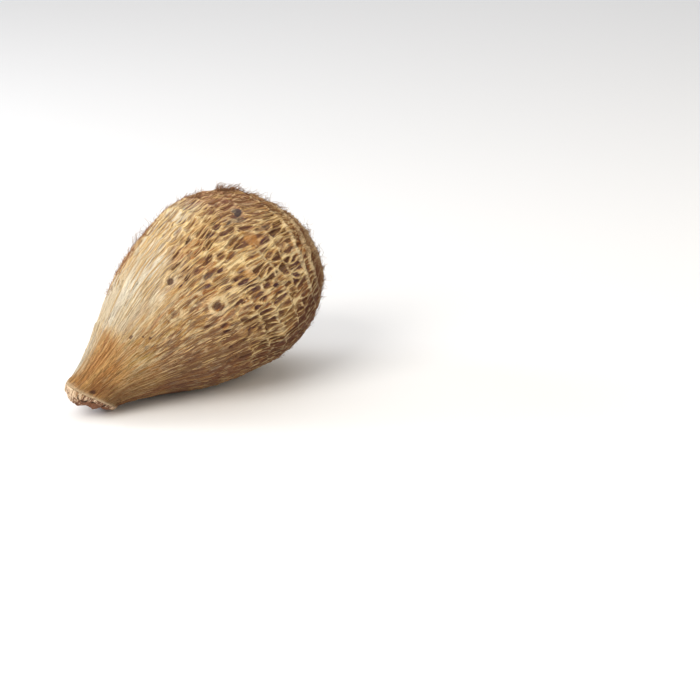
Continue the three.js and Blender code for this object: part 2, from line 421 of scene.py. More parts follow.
    def side(self, share: np.ndarray, angle: np.ndarray, raised: np.ndarray) -> np.ndarray:
        """Points of the side.

        The point at a share and an angle is the axis point there plus the radius, the lip, the
        swells and the relief, outwards. Near the tip the relief turns to lie along the axis.

        Args:
            share: Share of the length.
            angle: Angle round the axis.
            raised: Relief in millimetres.

        Returns:
            Points, in millimetres, with a last axis of three.
        """
        along = self.along(share, angle)
        plain = self.radius(np.where(share < self.scar_blend, along / self.length, share))
        lip = self.lip_flare * bell(share, 0.0, self.lip_reach)
        flat = smooth(*self.tip_turn, share)
        whole = plain + lip + self.swell(share, angle) * (1 - flat) + raised * (1 - flat)
        nub = self.tip_height * bell(plain, 0.0, self.tip_radius) * (share > self.belly_at)
        forward = along + nub + raised * flat
        reach = np.maximum(whole, 0) * (share < 1)
        return self.axis(forward) + self.outward(angle) * reach[..., None]

    def scar(self, out: np.ndarray, angle: np.ndarray, proud: np.ndarray) -> np.ndarray:
        """Points of the scar's face: the slanted plane, raised along its own normal.

        Args:
            out: Share of the way from the middle to the lip.
            angle: Angle round the axis.
            proud: Height above the plane in millimetres.

        Returns:
            Points, in millimetres.
        """
        lip = self.scar_plane(np.ones_like(out), angle)
        radius = out * (self.radius(lip / self.length) + self.lip_flare)
        facing = unit(self.outward(np.array(self.scar_side)) * self.scar_slope - self.onward())
        flat = self.axis(self.scar_plane(out, angle)) + self.outward(angle) * radius[..., None]
        return flat + facing * proud[..., None]


@dataclass(frozen=True)
class Eye:
    """A bud scar: its place, its radius, the heights of its dimple and rim, and how dark it is."""

    share: float
    degrees: float
    radius: float
    dimple: float
    rim: float
    dark: float


EYES = (
    Eye(0.483, 157, 3.0, 1.2, 0.40, 0.75),
    Eye(0.417, 122.5, 2.3, 1.5, 0.15, 1.0),
    Eye(0.443, 145.5, 2.4, 0.3, 0.20, 0.25),
    Eye(0.358, 142, 2.6, 0.8, 0.22, 0.6),
    Eye(0.440, 77, 2.0, 0.8, 0.15, 0.8),
    Eye(0.570, 20, 2.8, 1.2, 0.25, 0.8),
    Eye(0.470, 338, 2.5, 1.1, 0.20, 0.8),
    Eye(0.670, 65, 2.8, 1.2, 0.25, 0.8),
    Eye(0.021, 150, 1.7, 0.8, 0.10, 1.0),
    Eye(0.217, 129.5, 1.1, 0.3, 0.05, 1.0),
    Eye(0.242, 139.5, 0.9, 0.3, 0.05, 0.9),
    Eye(0.254, 145.0, 1.0, 0.4, 0.10, 1.0),
    Eye(0.552, 163.0, 1.5, 0.5, 0.05, 0.9),
)


@dataclass(frozen=True)
class Patch:
    """A smooth oval where a root was: its place, half its length and width, and its colours."""

    share: float
    degrees: float
    half_length: float
    half_width: float
    rust: float
    slate: float


PATCHES = (
    Patch(0.718, 135.5, 3.3, 5.2, 1.0, 0.0),
    Patch(0.757, 114, 2.2, 2.5, 0.0, 1.0),
    Patch(0.742, 120, 3.0, 3.0, 0.1, 0.4),
    Patch(0.805, 132, 4.2, 1.5, 0.3, 0.45),
    Patch(0.700, 118, 3.6, 1.8, 0.2, 0.35),
    Patch(0.620, 150, 3.0, 5.0, 0.35, 0.0),
    Patch(0.700, 330, 4.5, 3.0, 0.8, 0.2),
    Patch(0.590, 250, 3.5, 4.0, 0.6, 0.3),
    Patch(0.235, 153.5, 3.6, 2.6, 0.5, 0.3),
    Patch(0.535, 128, 3.0, 2.4, 0.5, 0.0),
    Patch(0.520, 138, 3.4, 1.6, 0.0, 0.45),
)


@dataclass
class Relief:
    """What the skin's pattern gives at each place: its height, and masks, most from 0 to 1."""

    height: np.ndarray
    cell: np.ndarray
    ridge: np.ndarray
    ring: np.ndarray
    eye: np.ndarray
    rust: np.ndarray
    slate: np.ndarray


@dataclass(frozen=True)
class Net:
    """The net of pale ridges round dark cells, laid in one row between two rings of leaf scars.

    Every cell has a seed point, jittered about its place in the row, with odd rows set half a
    cell over. A place belongs to the nearest seed point, with distances along the axis counted
    short so that the cells grow long. How much further the second nearest point is than the
    nearest is nothing on a cell's border and largest at its middle. The table of random numbers
    is as long as the places asked for need, so the cells under strands and hairs can differ a
    little from the skin's.
    """

    around: int = 112
    jitter: Span = (0.46, 0.24)
    slack: float = 0.48
    spare_rows: int = 4
    seed: int = 4

    def at(
        self, row: np.ndarray, across: np.ndarray, cell_width: np.ndarray, cell_length: np.ndarray
    ) -> tuple[np.ndarray, np.ndarray, np.ndarray]:
        """Distance inside the border of a cell, and two random numbers of that cell.

        Args:
            row: Row number and the share of the way through the row.
            across: Place round the axis in cells.
            cell_width: Width of a cell in millimetres.
            cell_length: Length of a row in millimetres.

        Returns:
            The distance in millimetres and two numbers from 0 to 1.
        """
        rows = int(row.max()) + self.spare_rows
        draws = np.random.default_rng(self.seed).uniform(0, 1, (4, rows, self.around))
        near, next_near = np.full(row.shape, np.inf), np.full(row.shape, np.inf)
        first, second = np.zeros(row.shape), np.zeros(row.shape)
        for step in (-1, 0, 1):
            line = np.floor(row).astype(int) + step
            offset = 0.5 * (line % 2)
            middle = np.floor(across - offset).astype(int)
            for aside in (-1, 0, 1):
                place = middle + aside
                spot = (line + 1) % rows, place % self.around
                u = place + offset + 0.5 + self.jitter[0] * (2 * draws[0][spot] - 1)
                v = line + 0.5 + self.jitter[1] * (2 * draws[1][spot] - 1)
                far = np.hypot((across - u) * cell_width, (row - v) * cell_length * self.slack)
                closer = far < near
                next_near = np.where(closer, near, np.minimum(next_near, far))
                first = np.where(closer, draws[2][spot], first)
                second = np.where(closer, draws[3][spot], second)
                near = np.where(closer, far, near)
        return next_near - near, first, second


@dataclass(frozen=True)
class Rings:
    """The rings of leaf scars, each a torn pale lip between two bands of skin.

    The one nearest the tip on the low side is wider and whole.
    """

    neck: tuple[float, ...] = (0.06, 0.125, 0.2, 0.28, 0.36)
    body: tuple[float, ...] = (0.44, 0.513, 0.581, 0.641, 0.706, 0.779, 0.872, 0.922, 0.962)
    before: tuple[float, ...] = (-0.2, -0.08, 0.0)
    after: tuple[float, ...] = (1.0, 1.2)
    slant: Zone = Zone(0.058, ((0.70, 0.80), (1.0, 0.86)), arc=(130, 195, 250, 300))
    near: Zone = Zone(steps=((0.79, 0.84),), side=FACING)
    shown: Zone = Zone(steps=((0.46, 0.66), (0.985, 0.945)))
    width: float = 0.70
    wider: float = 0.8
    ragged: Span = (0.7, 1.2)
    mended: float = 0.8
    bold: float = 0.8
    bolder: float = 1.3
    most: float = 1.2

    def shares(self) -> np.ndarray:
        """Shares of the length where bands begin and end."""
        return np.array((*self.before, *self.neck, *self.body, *self.after))

    def lip(
        self, share: np.ndarray, angle: np.ndarray, off_ring: np.ndarray, torn: np.ndarray,
        ragged: np.ndarray, tip: np.ndarray,
    ) -> np.ndarray:
        """Weight of the lips: a bell of the distance from a ring, times how whole the ring is.

        Args:
            share: Share of the length.
            angle: Angle round the axis.
            off_ring: Distance from the nearest ring in millimetres.
            torn: How whole the rings are, by a slow random field.
            ragged: A quick random field.
            tip: Weight of the tip, where rings are bolder.

        Returns:
            Weights from 0 to just over 1.
        """
        near = self.near.at(share + self.slant.at(share, angle), angle)
        left = torn * np.clip(self.ragged[0] + self.ragged[1] * ragged, 0, 1)
        whole = left + self.mended * near * (1 - left)
        lip = whole * bell(off_ring, 0.0, self.width * (1 + self.wider * near))
        lip = lip * self.shown.at(share, angle)
        return np.clip(lip * (self.bold + self.bolder * (near + tip)), 0, self.most)


@dataclass(frozen=True)
class BrowningAndShade:
    """Where the skin is painted dark brown: on the low side, round the tip and low on the neck.

    The dark is partly the skin's own brown and partly painted shade, strongest on the low side that
    faces the floor.
    """

    onset: float = math.radians(204)
    climb: Zone = Zone(math.radians(36), ((0.55, 0.92),))
    soft: Span = (-0.10, 0.20)
    wander: float = 0.16
    far_side: Span = (math.radians(300), math.radians(250))
    end: Zone = Zone(steps=((0.98, 0.90),))
    deepens: Zone = Zone(0.9, ((0.42, 0.68),), base=0.5)
    tip: Zone = Zone(0.55, ((0.86, 0.95),))
    tip_end: Zone = Zone(-0.5, ((0.94, 0.985),), base=1.0)
    tip_side: Zone = Zone(0.6, side=FACING, base=1.0)
    neck: Zone = Zone(0.45, along=(0.045, 0.06), side=(157.56, 0.5))

    def at(
        self, share: np.ndarray, edge: np.ndarray, angle: np.ndarray, blotch: np.ndarray
    ) -> np.ndarray:
        """How dark the skin is painted, its own brown and painted shade together: the low side,
        whose edge climbs towards the tip, and two zones.

        Args:
            share: Share of the length.
            edge: The same with the wander of a zone's edge.
            angle: Angle round the axis.
            blotch: Slow random field that the low side's edge follows.

        Returns:
            Weights from 0 to just over 1.
        """
        onset = self.onset - self.climb.at(edge, angle)
        low = smooth(onset + self.soft[0], onset + self.soft[1], angle + self.wander * blotch)
        low = low * smooth(*self.far_side, angle) * self.end.at(share, angle)
        low = low * self.deepens.at(edge, angle)
        tip = self.tip.at(edge, angle) * self.tip_end.at(edge, angle) * self.tip_side.at(edge, angle)
        return np.maximum(np.maximum(low, tip), self.neck.at(share, angle))


@dataclass(frozen=True)
class Colouring:
    """Where the zones of colour lie.

    The pale limb is the neck's upper far edge: partly pale skin, partly a painted highlight. The under
    zone is partly the skin's own brown and partly painted shade.
    """

    neck_end: Span = (0.215, 0.185)
    neck_soft: Zone = Zone(-0.09, arc=(20, 60, 104, 140), base=0.09)
    neck_wander: float = 0.4
    neck_twist: float = 2.2
    neck: Zone = Zone(arc=(350, 420, 510, 585))
    # The limb: the neck's upper far edge, painted pale, partly pale skin and partly a painted highlight.
    pale_limb_and_highlight: Zone = Zone(steps=((0.01, 0.07),), side=(46, 0.70))
    limb_wander: float = 0.28
    limb_cream_and_highlight: Zone = Zone(steps=((0.30, 0.22),))
    cream: Zone = Zone(steps=((0.19, 0.25), (0.60, 0.40)), side=(84, 0.70))
    crest: Zone = Zone(0.9, ((0.3, 0.4), (0.76, 0.64)), side=(77, 0.42))
    ochre: Zone = Zone(steps=((0.58, 0.18),), arc=LOWER)
    ochre_wander: float = 0.08
    # The low side, painted darker: partly the skin's own brown, partly painted shade.
    under: Zone = Zone(arc=(145, 212, 305, 352))
    top: Zone = Zone(0.26, ((0.66, 0.80),), side=(78, 0.65))
    tip: Zone = Zone(0.85, ((0.80, 0.93),))
    tip_end: Zone = Zone(-0.55, ((0.94, 0.985),), base=1.0)
    freckles: tuple[Zone, ...] = (Zone(steps=((0.36, 0.56),)), Zone(1.1, ((0.2, 0.26),), arc=LOWER))
    freckles_low: Zone = Zone(0.16, ((0.6, 0.45),), arc=LOWER)
    freckles_least: float = 0.4
    freckled: Zone = Zone(steps=((0.1, 0.24),))
    hue_spot: Zone = Zone(0.35, along=(0.52, 0.09), side=(125, 0.45))
    hues: tuple[Zone, ...] = (
        Zone(0.30, ((0.78, 0.92),)), Zone(0.22, arc=(140, 190, 300, 350)),
        Zone(-0.5, ((0.62, 0.76),), side=(92, 0.5)),
    )

    def at(
        self, share: np.ndarray, edge: np.ndarray, angle: np.ndarray, blotch: np.ndarray,
        torn: np.ndarray,
    ) -> dict[str, np.ndarray]:
        """Masks of the zones by name: windows of the wandering share of the length and the angle.

        Args:
            share: Share of the length.
            edge: The same with the wander of a zone's edge.
            angle: Angle round the axis.
            blotch: Slow random field.
            torn: Quicker random field.

        Returns:
            The masks, most of them from 0 to 1.
        """
        # The neck's upper far edge is painted pale: partly pale skin, partly a painted highlight.
        pale_limb_and_highlight = self.pale_limb_and_highlight.at(edge, angle + self.limb_wander * torn)
        soft = self.neck_soft.at(edge, angle)
        start, end = self.neck_end[0] + soft, self.neck_end[1] - soft
        neck = smooth(start, end, edge + self.neck_wander * soft * blotch) * (1 - pale_limb_and_highlight)
        neck = neck * self.neck.at(share, angle + self.neck_twist * share)
        cream = np.maximum(self.cream.at(edge, angle), self.crest.at(edge, angle))
        # The cream mask also carries the limb's paleness, partly a painted highlight.
        cream = np.maximum(cream, pale_limb_and_highlight * self.limb_cream_and_highlight.at(edge, angle))
        shag = self.tip.at(edge, angle) * self.tip_end.at(edge, angle) + self.top.at(edge, angle)
        freckle = np.clip(sum(zone.at(edge, angle) for zone in self.freckles), 0, 1)
        freckle = np.maximum(freckle + self.freckles_low.at(edge, angle), self.freckles_least)
        return {
            "neck": neck,
            "cream": cream,
            "under": self.under.at(edge, angle),
            "shag": np.clip(shag, 0, 1),
            "ochre": self.ochre.at(edge + self.ochre_wander * blotch, angle),
            "freckle": freckle * self.freckled.at(share, angle),
            "hue": self.hue_spot.at(share, angle) + sum(zone.at(edge, angle) for zone in self.hues),
        }


@dataclass(frozen=True)
class Crumbs:
    """Crumbs laid on a flat disc, because a grain round the axis would crowd at its middle."""

    grains: Grains = Grains(((0.60, Grain(22, 2.6, 57)), (0.60, Grain(52, 1.15, 58))))
    span: float = 60.0

    def at(self, radius: np.ndarray, angle: np.ndarray) -> np.ndarray:
        """Value at places given by radius and angle, read by their place across the disc."""
        return self.grains.at(radius * np.cos(angle), radius * np.sin(angle) / self.span * TAU)


@dataclass(frozen=True)
class CorkScar:
    """The corky face where the corm was broken off: a leaning dome with lumps and pits."""

    crumbs: Crumbs = Crumbs()
    dome: float = 5.6
    dome_side: float = math.radians(95)
    dome_lean: float = 0.55
    lump: float = 0.9
    lumps: tuple[Wave, Wave] = (Wave(1.0, 5, 6, 0), Wave(1.0, 1, 9, 0))
    lump_fade: int = 4
    crumb_height: float = 0.95
    hole_depth: float = 1.0
    crumb_fade: int = 24
    holes: Span = (0.34, 0.70)
    holes_end: Span = (1.0, 0.95)
    crag_side: float = math.radians(80)
    crag_spread: float = 0.05
    crags_from: Span = (0.3, 0.8)
    crag_rim: Zone = Zone(0.85, ((0.86, 0.96),))

    def height(
        self, out: np.ndarray, angle: np.ndarray, radius: np.ndarray
    ) -> tuple[np.ndarray, np.ndarray]:
        """Height of the face: the dome plus lumps and crumbs, less pits, faded out at the lip.

        Args:
            out: Share of the way from the middle to the lip.
            angle: Angle round the axis.
            radius: Distance from the middle in millimetres.

        Returns:
            Heights in millimetres and a mask of the pits.
        """
        lean = 1 + self.dome_lean * out * np.cos(angle - self.dome_side)
        dome = self.dome * lean * np.sqrt(np.clip(1 - out ** 2, 0, 1))
        lumps = self.lumps[0].at(out, angle) * self.lumps[1].at(out, angle)
        crumbs = self.crumbs.at(radius, angle)
        holes = smooth(*self.holes, -crumbs) * smooth(*self.holes_end, out)
        rough = self.crumb_height * crumbs - self.hole_depth * holes
        lumpy = self.lump * lumps * out * (1 - out ** self.lump_fade)
        return dome + lumpy + rough * (1 - out ** self.crumb_fade), holes

    def crags(self, out: np.ndarray, angle: np.ndarray) -> np.ndarray:
        """Mask of the pale crags, on one side of the face and just inside the lip."""
        side = np.clip(self.crag_spread + np.cos(turn(self.crag_side, angle)), 0, 1)
        return np.maximum(side * smooth(*self.crags_from, out), self.crag_rim.at(out, angle))


@dataclass
class Skin:
    """The whole skin with the neck scar: one closed surface with a pole at each end.

    Strands and cells are drawn coarser than the real ones, the finest of which are under a
    tenth of a millimetre wide and wouldn't show. A pair of numbers is where a smooth step is 0
    and where it is 1, or a least value and what is added to it, or a bell's middle and width.
    """

    form: Form = field(default_factory=Form)
    net: Net = field(default_factory=Net)
    rings: Rings = field(default_factory=Rings)
    scar: CorkScar = field(default_factory=CorkScar)
    browning_and_shade: BrowningAndShade = field(default_factory=BrowningAndShade)
    colouring: Colouring = field(default_factory=Colouring)
    # Points round the axis, rows on the side and on the scar's face, and how rows are spread.
    columns: int = 520
    side_rows: int = 166
    face_rows: int = 24
    face_shares: Span = (0.06, 0.97)
    row_samples: int = 4001
    row_closer: Span = (0.45, 0.55)
    # Random fields: the drift of rings, the sway of fibres, zone edges, tears and roughness.
    drift: Grains = Grains((
        (1.2, Grain(11, 24, 41)), (0.8, Grain(46, 9, 42)), (0.5, Grain(110, 5, 43)),
    ))
    sway: Grains = Grains((
        (1.5, Grain(17, 22, 44)), (0.8, Grain(44, 9, 45)), (0.5, Grain(100, 4.5, 46)),
    ))
    blotch: Grains = Grains(((0.7, Grain(9, 26, 47)), (0.5, Grain(26, 11, 48))))
    torn: Grains = Grains(((0.5, Grain(38, 12, 49)), (0.3, Grain(120, 5, 50))))
    coarse: Grains = Grains(((0.35, Grain(14, 16, 51)), (0.16, Grain(60, 6, 52))))
    ragged: Grains = Grains(((0.40, Grain(130, 7, 55)), (0.28, Grain(260, 4, 56))))
    fine: Grain = Grain(150, 15, 53)
    finer: Grain = Grain(236, 9, 54)
    drifting: Zone = Zone(steps=((1.0, 0.94),))
    swaying: Zone = Zone(0.5, ((0.2, 0.5),), base=0.5)
    wander: Span = (0.018, 0.006)
    # Where cells are dark: from which share on, less on the pale side, and in blotches.
    celled: Span = (0.36, 0.62)
    celled_later: Zone = Zone(0.05, arc=(0, 60, 80, 120))
    cells_most: float = 0.95
    cells_pale_side: Zone = Zone(0.85, ((0.80, 0.66),), side=(78, 0.42))
    cells_blotched: Zone = Zone(0.45, ((0.3, 0.5),))
    cells_top: float = 1.1
    chance: float = 0.95
    shown: Span = (0.0, 0.30)
    # Cells and ridges: distances from a cell's border and from a ring, depths and heights.
    least_cell_radius: float = 4.0
    cell_inset: Span = (0.4, 0.7)
    cell_slope: float = 0.7
    cell_ends: Span = (0.2, 1.2)
    cell_depth: float = 1.0
    cell_uneven: Span = (0.5, 0.7)
    cell_dark: Span = (0.45, 0.55)
    netted: Zone = Zone(0.8, ((0.34, 0.60),), base=0.2)
    ridge: Span = (1.0, 0.12)
    ridge_height: float = 0.45
    # Eyes: their rim, halo and pit in radii of the eye, and where the rest of the relief is calm.
    least_radius: float = 2.0
    eye_rim: Span = (1.05, 0.3)
    eye_halo: Span = (1.35, 0.3162)
    eye_pit: float = 0.6481
    eye_pale: Span = (0.8, 0.4)
    eye_clear: Span = (0.5, 0.1)
    # Rings, shingles and fine strands: heights in millimetres, and how they change along the corm.
    body: Zone = Zone(0.8, ((0.30, 0.62),), base=0.2)
    tip: Zone = Zone(steps=((0.84, 0.95),))
    torn_middle: float = 0.55
    torn_most: float = 1.3
    ring_height: float = 0.80
    ring_at_tip: float = 0.9
    shingle: float = 0.55
    shingle_level: float = 0.4
    shingle_neck: Span = (0.4, 0.6)
    strand_height: float = 0.18
    strand_finer: float = 0.6
    strand_neck: Span = (0.5, 0.5)
    # The crown, the tip's end, the rubbed belly, and the lip of the scar.
    crown: Span = (0.985, 0.90)
    crown_rough: float = 0.8
    end: Span = (1.0, 0.985)
    rubbed: float = 0.85
    gather: Span = (0.87, 0.97)
    lip_along: float = 60.0
    lip_width: Span = (0.008, 0.005)
    face_along: float = -20.0

    def rows(self, share: np.ndarray, angle: np.ndarray) -> tuple[np.ndarray, np.ndarray]:
        """Which band between two rings a place is in, and how long that band is.

        Args:
            share: Share of the length.
            angle: Angle round the axis.

        Returns:
            The band's number plus the share of the way through it, and its length in
            millimetres.
        """
        drift = self.drift.at(share * self.form.length, angle) / self.form.length
        moved = share + drift * self.drifting.at(share, angle) + self.rings.slant.at(share, angle)
        rings = self.rings.shares()
        row = np.interp(moved, rings, np.arange(len(rings)))
        gap = np.diff(rings)[np.clip(row.astype(int), 0, len(rings) - 2)]
        return row, gap * self.form.length

    def swayed(self, share: np.ndarray, angle: np.ndarray) -> np.ndarray:
        """Angle of the fibre that passes a place: fibres sway to both sides as they run."""
        sway = self.sway.at(share * self.form.length, angle) * self.swaying.at(share, angle)
        return angle + sway / self.form.belly_radius

    def wandering(
        self, share: np.ndarray, angle: np.ndarray
    ) -> tuple[np.ndarray, np.ndarray, np.ndarray]:
        """Share of the length with the wander of a zone's edge.

        Args:
            share: Share of the length.
            angle: Angle round the axis.

        Returns:
            The wandering share and the slow and quicker random fields that it follows.
        """
        along = share * self.form.length
        blotch, torn = self.blotch.at(along, angle), self.torn.at(along, angle)
        return share + self.wander[0] * blotch + self.wander[1] * torn, blotch, torn

    def likely(self, share: np.ndarray, angle: np.ndarray) -> np.ndarray:
        """How likely a dark cell is: sure on the wide end, rare on the pale side and neck.

        Args:
            share: Share of the length.
            angle: Angle round the axis.

        Returns:
            Weights from 0 to just over 1.
        """
        body = smooth(*self.celled, share - self.celled_later.at(share, angle))
        body = body * (self.cells_most - self.cells_pale_side.at(share, angle))
        blotch = self.blotch.at(share * self.form.length, angle)
        return np.clip(body + blotch * self.cells_blotched.at(share, angle), 0, self.cells_top)

    def shade(self, share: np.ndarray, angle: np.ndarray) -> np.ndarray:
        """How dark brown the skin is painted: partly its own brown, partly painted shade."""
        edge, blotch, _ = self.wandering(share, angle)
        return self.browning_and_shade.at(share, edge, angle, blotch)

    def apart(
        self, mark: Eye | Patch, share: np.ndarray, angle: np.ndarray, radius: np.ndarray
    ) -> tuple[np.ndarray, np.ndarray]:
        """Distances of places from a mark's middle, round the axis and along it, in millimetres."""
        return turn(math.radians(mark.degrees), angle) * radius, (share - mark.share) * self.form.length

    def eyes(self, share: np.ndarray, angle: np.ndarray) -> tuple[np.ndarray, np.ndarray]:
        """Bud scars: a rim at one radius, a pale halo past it and a dimple, all bell curves.

        Args:
            share: Share of the length.
            angle: Angle round the axis.

        Returns:
            Heights, and a mask that is 1 in the dimples and below 0 on the rims.
        """
        height, mask = np.zeros_like(share), np.zeros_like(share)
        radius = np.maximum(self.form.radius(share), self.least_radius)
        for eye in EYES:
            far = np.hypot(*self.apart(eye, share, angle, radius)) / eye.radius
            rim, halo = bell(far, *self.eye_rim), bell(far, *self.eye_halo)
            pit = bell(far ** 2, 0.0, self.eye_pit)
            height += eye.rim * rim - eye.dimple * pit
            mask += eye.dark * pit - eye.rim * (self.eye_pale[0] * rim + self.eye_pale[1] * halo)
        return height, mask

    def patches(self, share: np.ndarray, angle: np.ndarray) -> tuple[np.ndarray, np.ndarray]:
        """Oval scars of old roots.

        Args:
            share: Share of the length.
            angle: Angle round the axis.

        Returns:
            A mask of rusty ovals and a mask of slate ones, each a bell of the distance to the
            fourth power.
        """
        rust, slate = np.zeros_like(share), np.zeros_like(share)
        radius = np.maximum(self.form.radius(share), self.least_radius)
        for patch in PATCHES:
            across, down = self.apart(patch, share, angle, radius)
            far = np.hypot(across / patch.half_width, down / patch.half_length)
            oval = np.exp(-far ** 4)
            rust += patch.rust * oval
            slate += patch.slate * oval
        return rust, slate

    def relief(self, share: np.ndarray, angle: np.ndarray) -> Relief:
        """The skin's height above the smooth body and its masks.

        The height is the net's ridges, less its cells, plus bands that rise towards the tip like
        shingles and drop at each ring's pale lip, plus fine strands where a stretched random
        field crosses zero, plus eyes. A cell ends short of both rings of its band. All of it is
        rubbed low where the corm rests.

        Args:
            share: Share of the length.
            angle: Angle round the axis.

        Returns:
            Heights in millimetres and the masks that colour the skin.
        """
        along = share * self.form.length
        radius = self.form.radius(share)
        row, gap = self.rows(share, angle)
        within = row - np.floor(row)
        off_ring = np.minimum(within, 1 - within) * gap
        swayed = self.swayed(share, angle)
        ragged = self.ragged.at(along, swayed)
        torn = np.clip(self.torn_middle + self.torn.at(along, angle), 0, self.torn_most)
        eye_height, eye = self.eyes(share, angle)
        rust, slate = self.patches(share, angle)
        calm = np.clip(1 - rust - slate, 0, 1) * smooth(*self.eye_clear, np.abs(eye))
        crown = smooth(*self.crown, share)
        body, tip = self.body.at(share, angle), self.tip.at(share, angle)

        cell_width = TAU * np.maximum(radius, self.least_cell_radius) / self.net.around
        inside, first, second = self.net.at(row, swayed / TAU * self.net.around, cell_width, gap)
        inside = inside + ragged
        least = self.cell_inset[0] + self.cell_inset[1] * (1 - second)
        cell = smooth(least, least + self.cell_slope, inside) * smooth(*self.cell_ends, off_ring)
        cell = cell * smooth(*self.shown, self.likely(share, angle) - self.chance * first)
        cell = cell * calm * crown
        ridge = smooth(*self.ridge, inside) * self.netted.at(share, angle) * calm * crown
        depth = self.cell_depth * (self.cell_uneven[0] + self.cell_uneven[1] * second)
        height = self.ridge_height * ridge - depth * cell

        ring = self.rings.lip(share, angle, off_ring, torn, ragged, tip)
        height = height + self.ring_height * ring * (body + self.ring_at_tip * tip)
        bold = self.shingle_neck[0] + self.shingle_neck[1] * body + tip
        height = height + self.shingle * (within ** 2 - self.shingle_level) * torn * bold
        fine, finer = [1 - 2 * np.abs(grain.at(along, swayed)) for grain in (self.fine, self.finer)]
        strands = (fine + self.strand_finer * finer) * (self.strand_neck[0] + self.strand_neck[1] * body)
        height = height + self.strand_height * strands * crown + self.coarse.at(along, angle)
        height = height + self.crown_rough * self.scar.crumbs.at(radius, angle) * (1 - crown)
        height = height * (1 - self.rubbed * self.form.rest(share, angle)) + eye_height
        dark = cell * (self.cell_dark[0] + self.cell_dark[1] * second)
        return Relief(height * smooth(*self.end, share), dark, ridge, ring, eye, rust, slate)

    def side_shares(self) -> np.ndarray:
        """Shares of the length of the side's rows.

        The rows lie evenly over the surface, but closer where the body is wide.

        Returns:
            The shares, from 0 to just under 1.
        """
        fine = 1 - (1 - np.linspace(0, 1, self.row_samples)) ** 2
        radius = self.form.radius(fine)
        points = np.stack([fine * self.form.length, radius], -1)
        steps = np.linalg.norm(np.diff(points, axis=0), axis=1)
        steps = steps * (self.row_closer[0] + self.row_closer[1] * radius[1:] / self.form.belly_radius)
        run = np.r_[0, np.cumsum(steps)]
        even = np.linspace(0, run[-1], self.side_rows + 2)
        return np.interp(even, run, fine)[:-1]

    def build(self) -> bpy.types.Object:
        """Makes the skin: rows of points from the scar's middle over the lip to the tip.

        Returns:
            The skin's object, with attributes for its finish.
        """
        turns = np.arange(self.columns) / self.columns * TAU
        share, angle = np.meshgrid(self.side_shares(), turns, indexing="ij")
        relief = self.relief(share, angle)
        side = self.form.side(share, angle, relief.height)
        outs = np.sin(np.linspace(*self.face_shares, self.face_rows) * np.pi / 2)
        out, around = np.meshgrid(outs, turns, indexing="ij")
        proud, holes = self.scar.height(out, around, self.form.radius(np.array(0.0)) * out)
        face = self.form.scar(out, around, proud)
        middle = face[0].mean(axis=0)[None]
        tip = self.form.side(np.array([1.0]), np.zeros(1), np.zeros(1))
        points = np.concatenate([middle, face.reshape(-1, 3), side.reshape(-1, 3), tip])
        points[:, 2] = np.maximum(points[:, 2], 0.0)
        corners, starts = closed_grid(self.face_rows + len(share), self.columns)
        skin = mesh_object("skin", points, corners, starts)
        self.paint(skin, relief, share, angle, out, around, holes)
        return skin

    def paint(
        self, skin: bpy.types.Object, relief: Relief, share: np.ndarray, angle: np.ndarray,
        out: np.ndarray, around: np.ndarray, holes: np.ndarray,
    ) -> None:
        """Stores what the finish reads: masks of marks and zones, and the lie of the fibres.

        Args:
            skin: The skin's object.
            relief: Masks of the side.
            share: Share of the length at the side's points.
            angle: Angle at the side's points.
            out: Share of the way out at the face's points.
            around: Angle at the face's points.
            holes: Pits of the face.
        """
        edge, blotch, torn = self.wandering(share, angle)
        sides = {**vars(relief), **self.colouring.at(share, edge, angle, blotch, torn)}
        sides["shade"] = self.browning_and_shade.at(share, edge, angle, blotch)
        wander = np.clip(self.torn.at(self.lip_along * np.ones_like(share), angle), -1, 1)
        sides["lip"] = bell(share, 0.0, self.lip_width[0] + self.lip_width[1] * wander)
        faces = {"cell": holes, "ridge": self.scar.crags(out, around)}
        for name, parts in FIELDS.items():
            on_face = [faces.get(part, np.zeros_like(out)) for part in parts]
            self.store(skin, name, [sides[part] for part in parts], on_face)
        swayed = self.swayed(share, angle)
        gather = smooth(*self.gather, share)
        lie = self.form.belly_radius * (1 - gather) + self.form.radius(share) * gather
        far = self.form.radius(np.array(0.0)) * out
        self.store(
            skin, "lie",
            [lie * np.cos(swayed), lie * np.sin(swayed), share * self.form.length],
            [far * np.cos(around), far * np.sin(around), self.face_along * np.ones_like(out)],
        )

    def store(
        self, skin: bpy.types.Object, name: str, on_side: list[np.ndarray], on_face: list[np.ndarray]
    ) -> None:
        """Stores three values a point as one attribute of the skin, in the order of its points.

        Args:
            skin: The skin's object.
            name: Name of the attribute.
            on_side: The values at the side's points.
            on_face: The values at the face's points.
        """
        sides = np.stack(on_side, -1).reshape(-1, 3)
        faces = np.stack(on_face, -1).reshape(-1, 3)
        store_vectors(skin, name, np.concatenate([faces[:1], faces, sides, sides[-1:]]))


def closed_grid(rows: int, columns: int) -> tuple[np.ndarray, np.ndarray]:
    """Faces of a closed surface: a fan at each pole and quads between rings of points.

    Point 0 is the first pole, then come the rows, and the last point is the other pole.

    Args:
        rows: Number of rings of points.
        columns: Points in a ring.

    Returns:
        Corner indices of all faces in a run, and the index where each face starts.
    """
    here = np.arange(columns)
    onward = (here + 1) % columns
    first = np.stack([np.zeros(columns, int), 1 + onward, 1 + here], -1)
    row = 1 + np.arange(rows - 1)[:, None] * columns
    quads = np.stack([row + here, row + onward, row + columns + onward, row + columns + here], -1)
    low = 1 + (rows - 1) * columns
    last = np.stack([np.full(columns, low + columns), low + here, low + onward], -1)
    corners = np.concatenate([first.ravel(), quads.ravel(), last.ravel()])
    sizes = np.concatenate([np.full(columns, 3), np.full((rows - 1) * columns, 4), np.full(columns, 3)])
    starts = np.r_[0, np.cumsum(sizes)[:-1]]
    return corners, starts


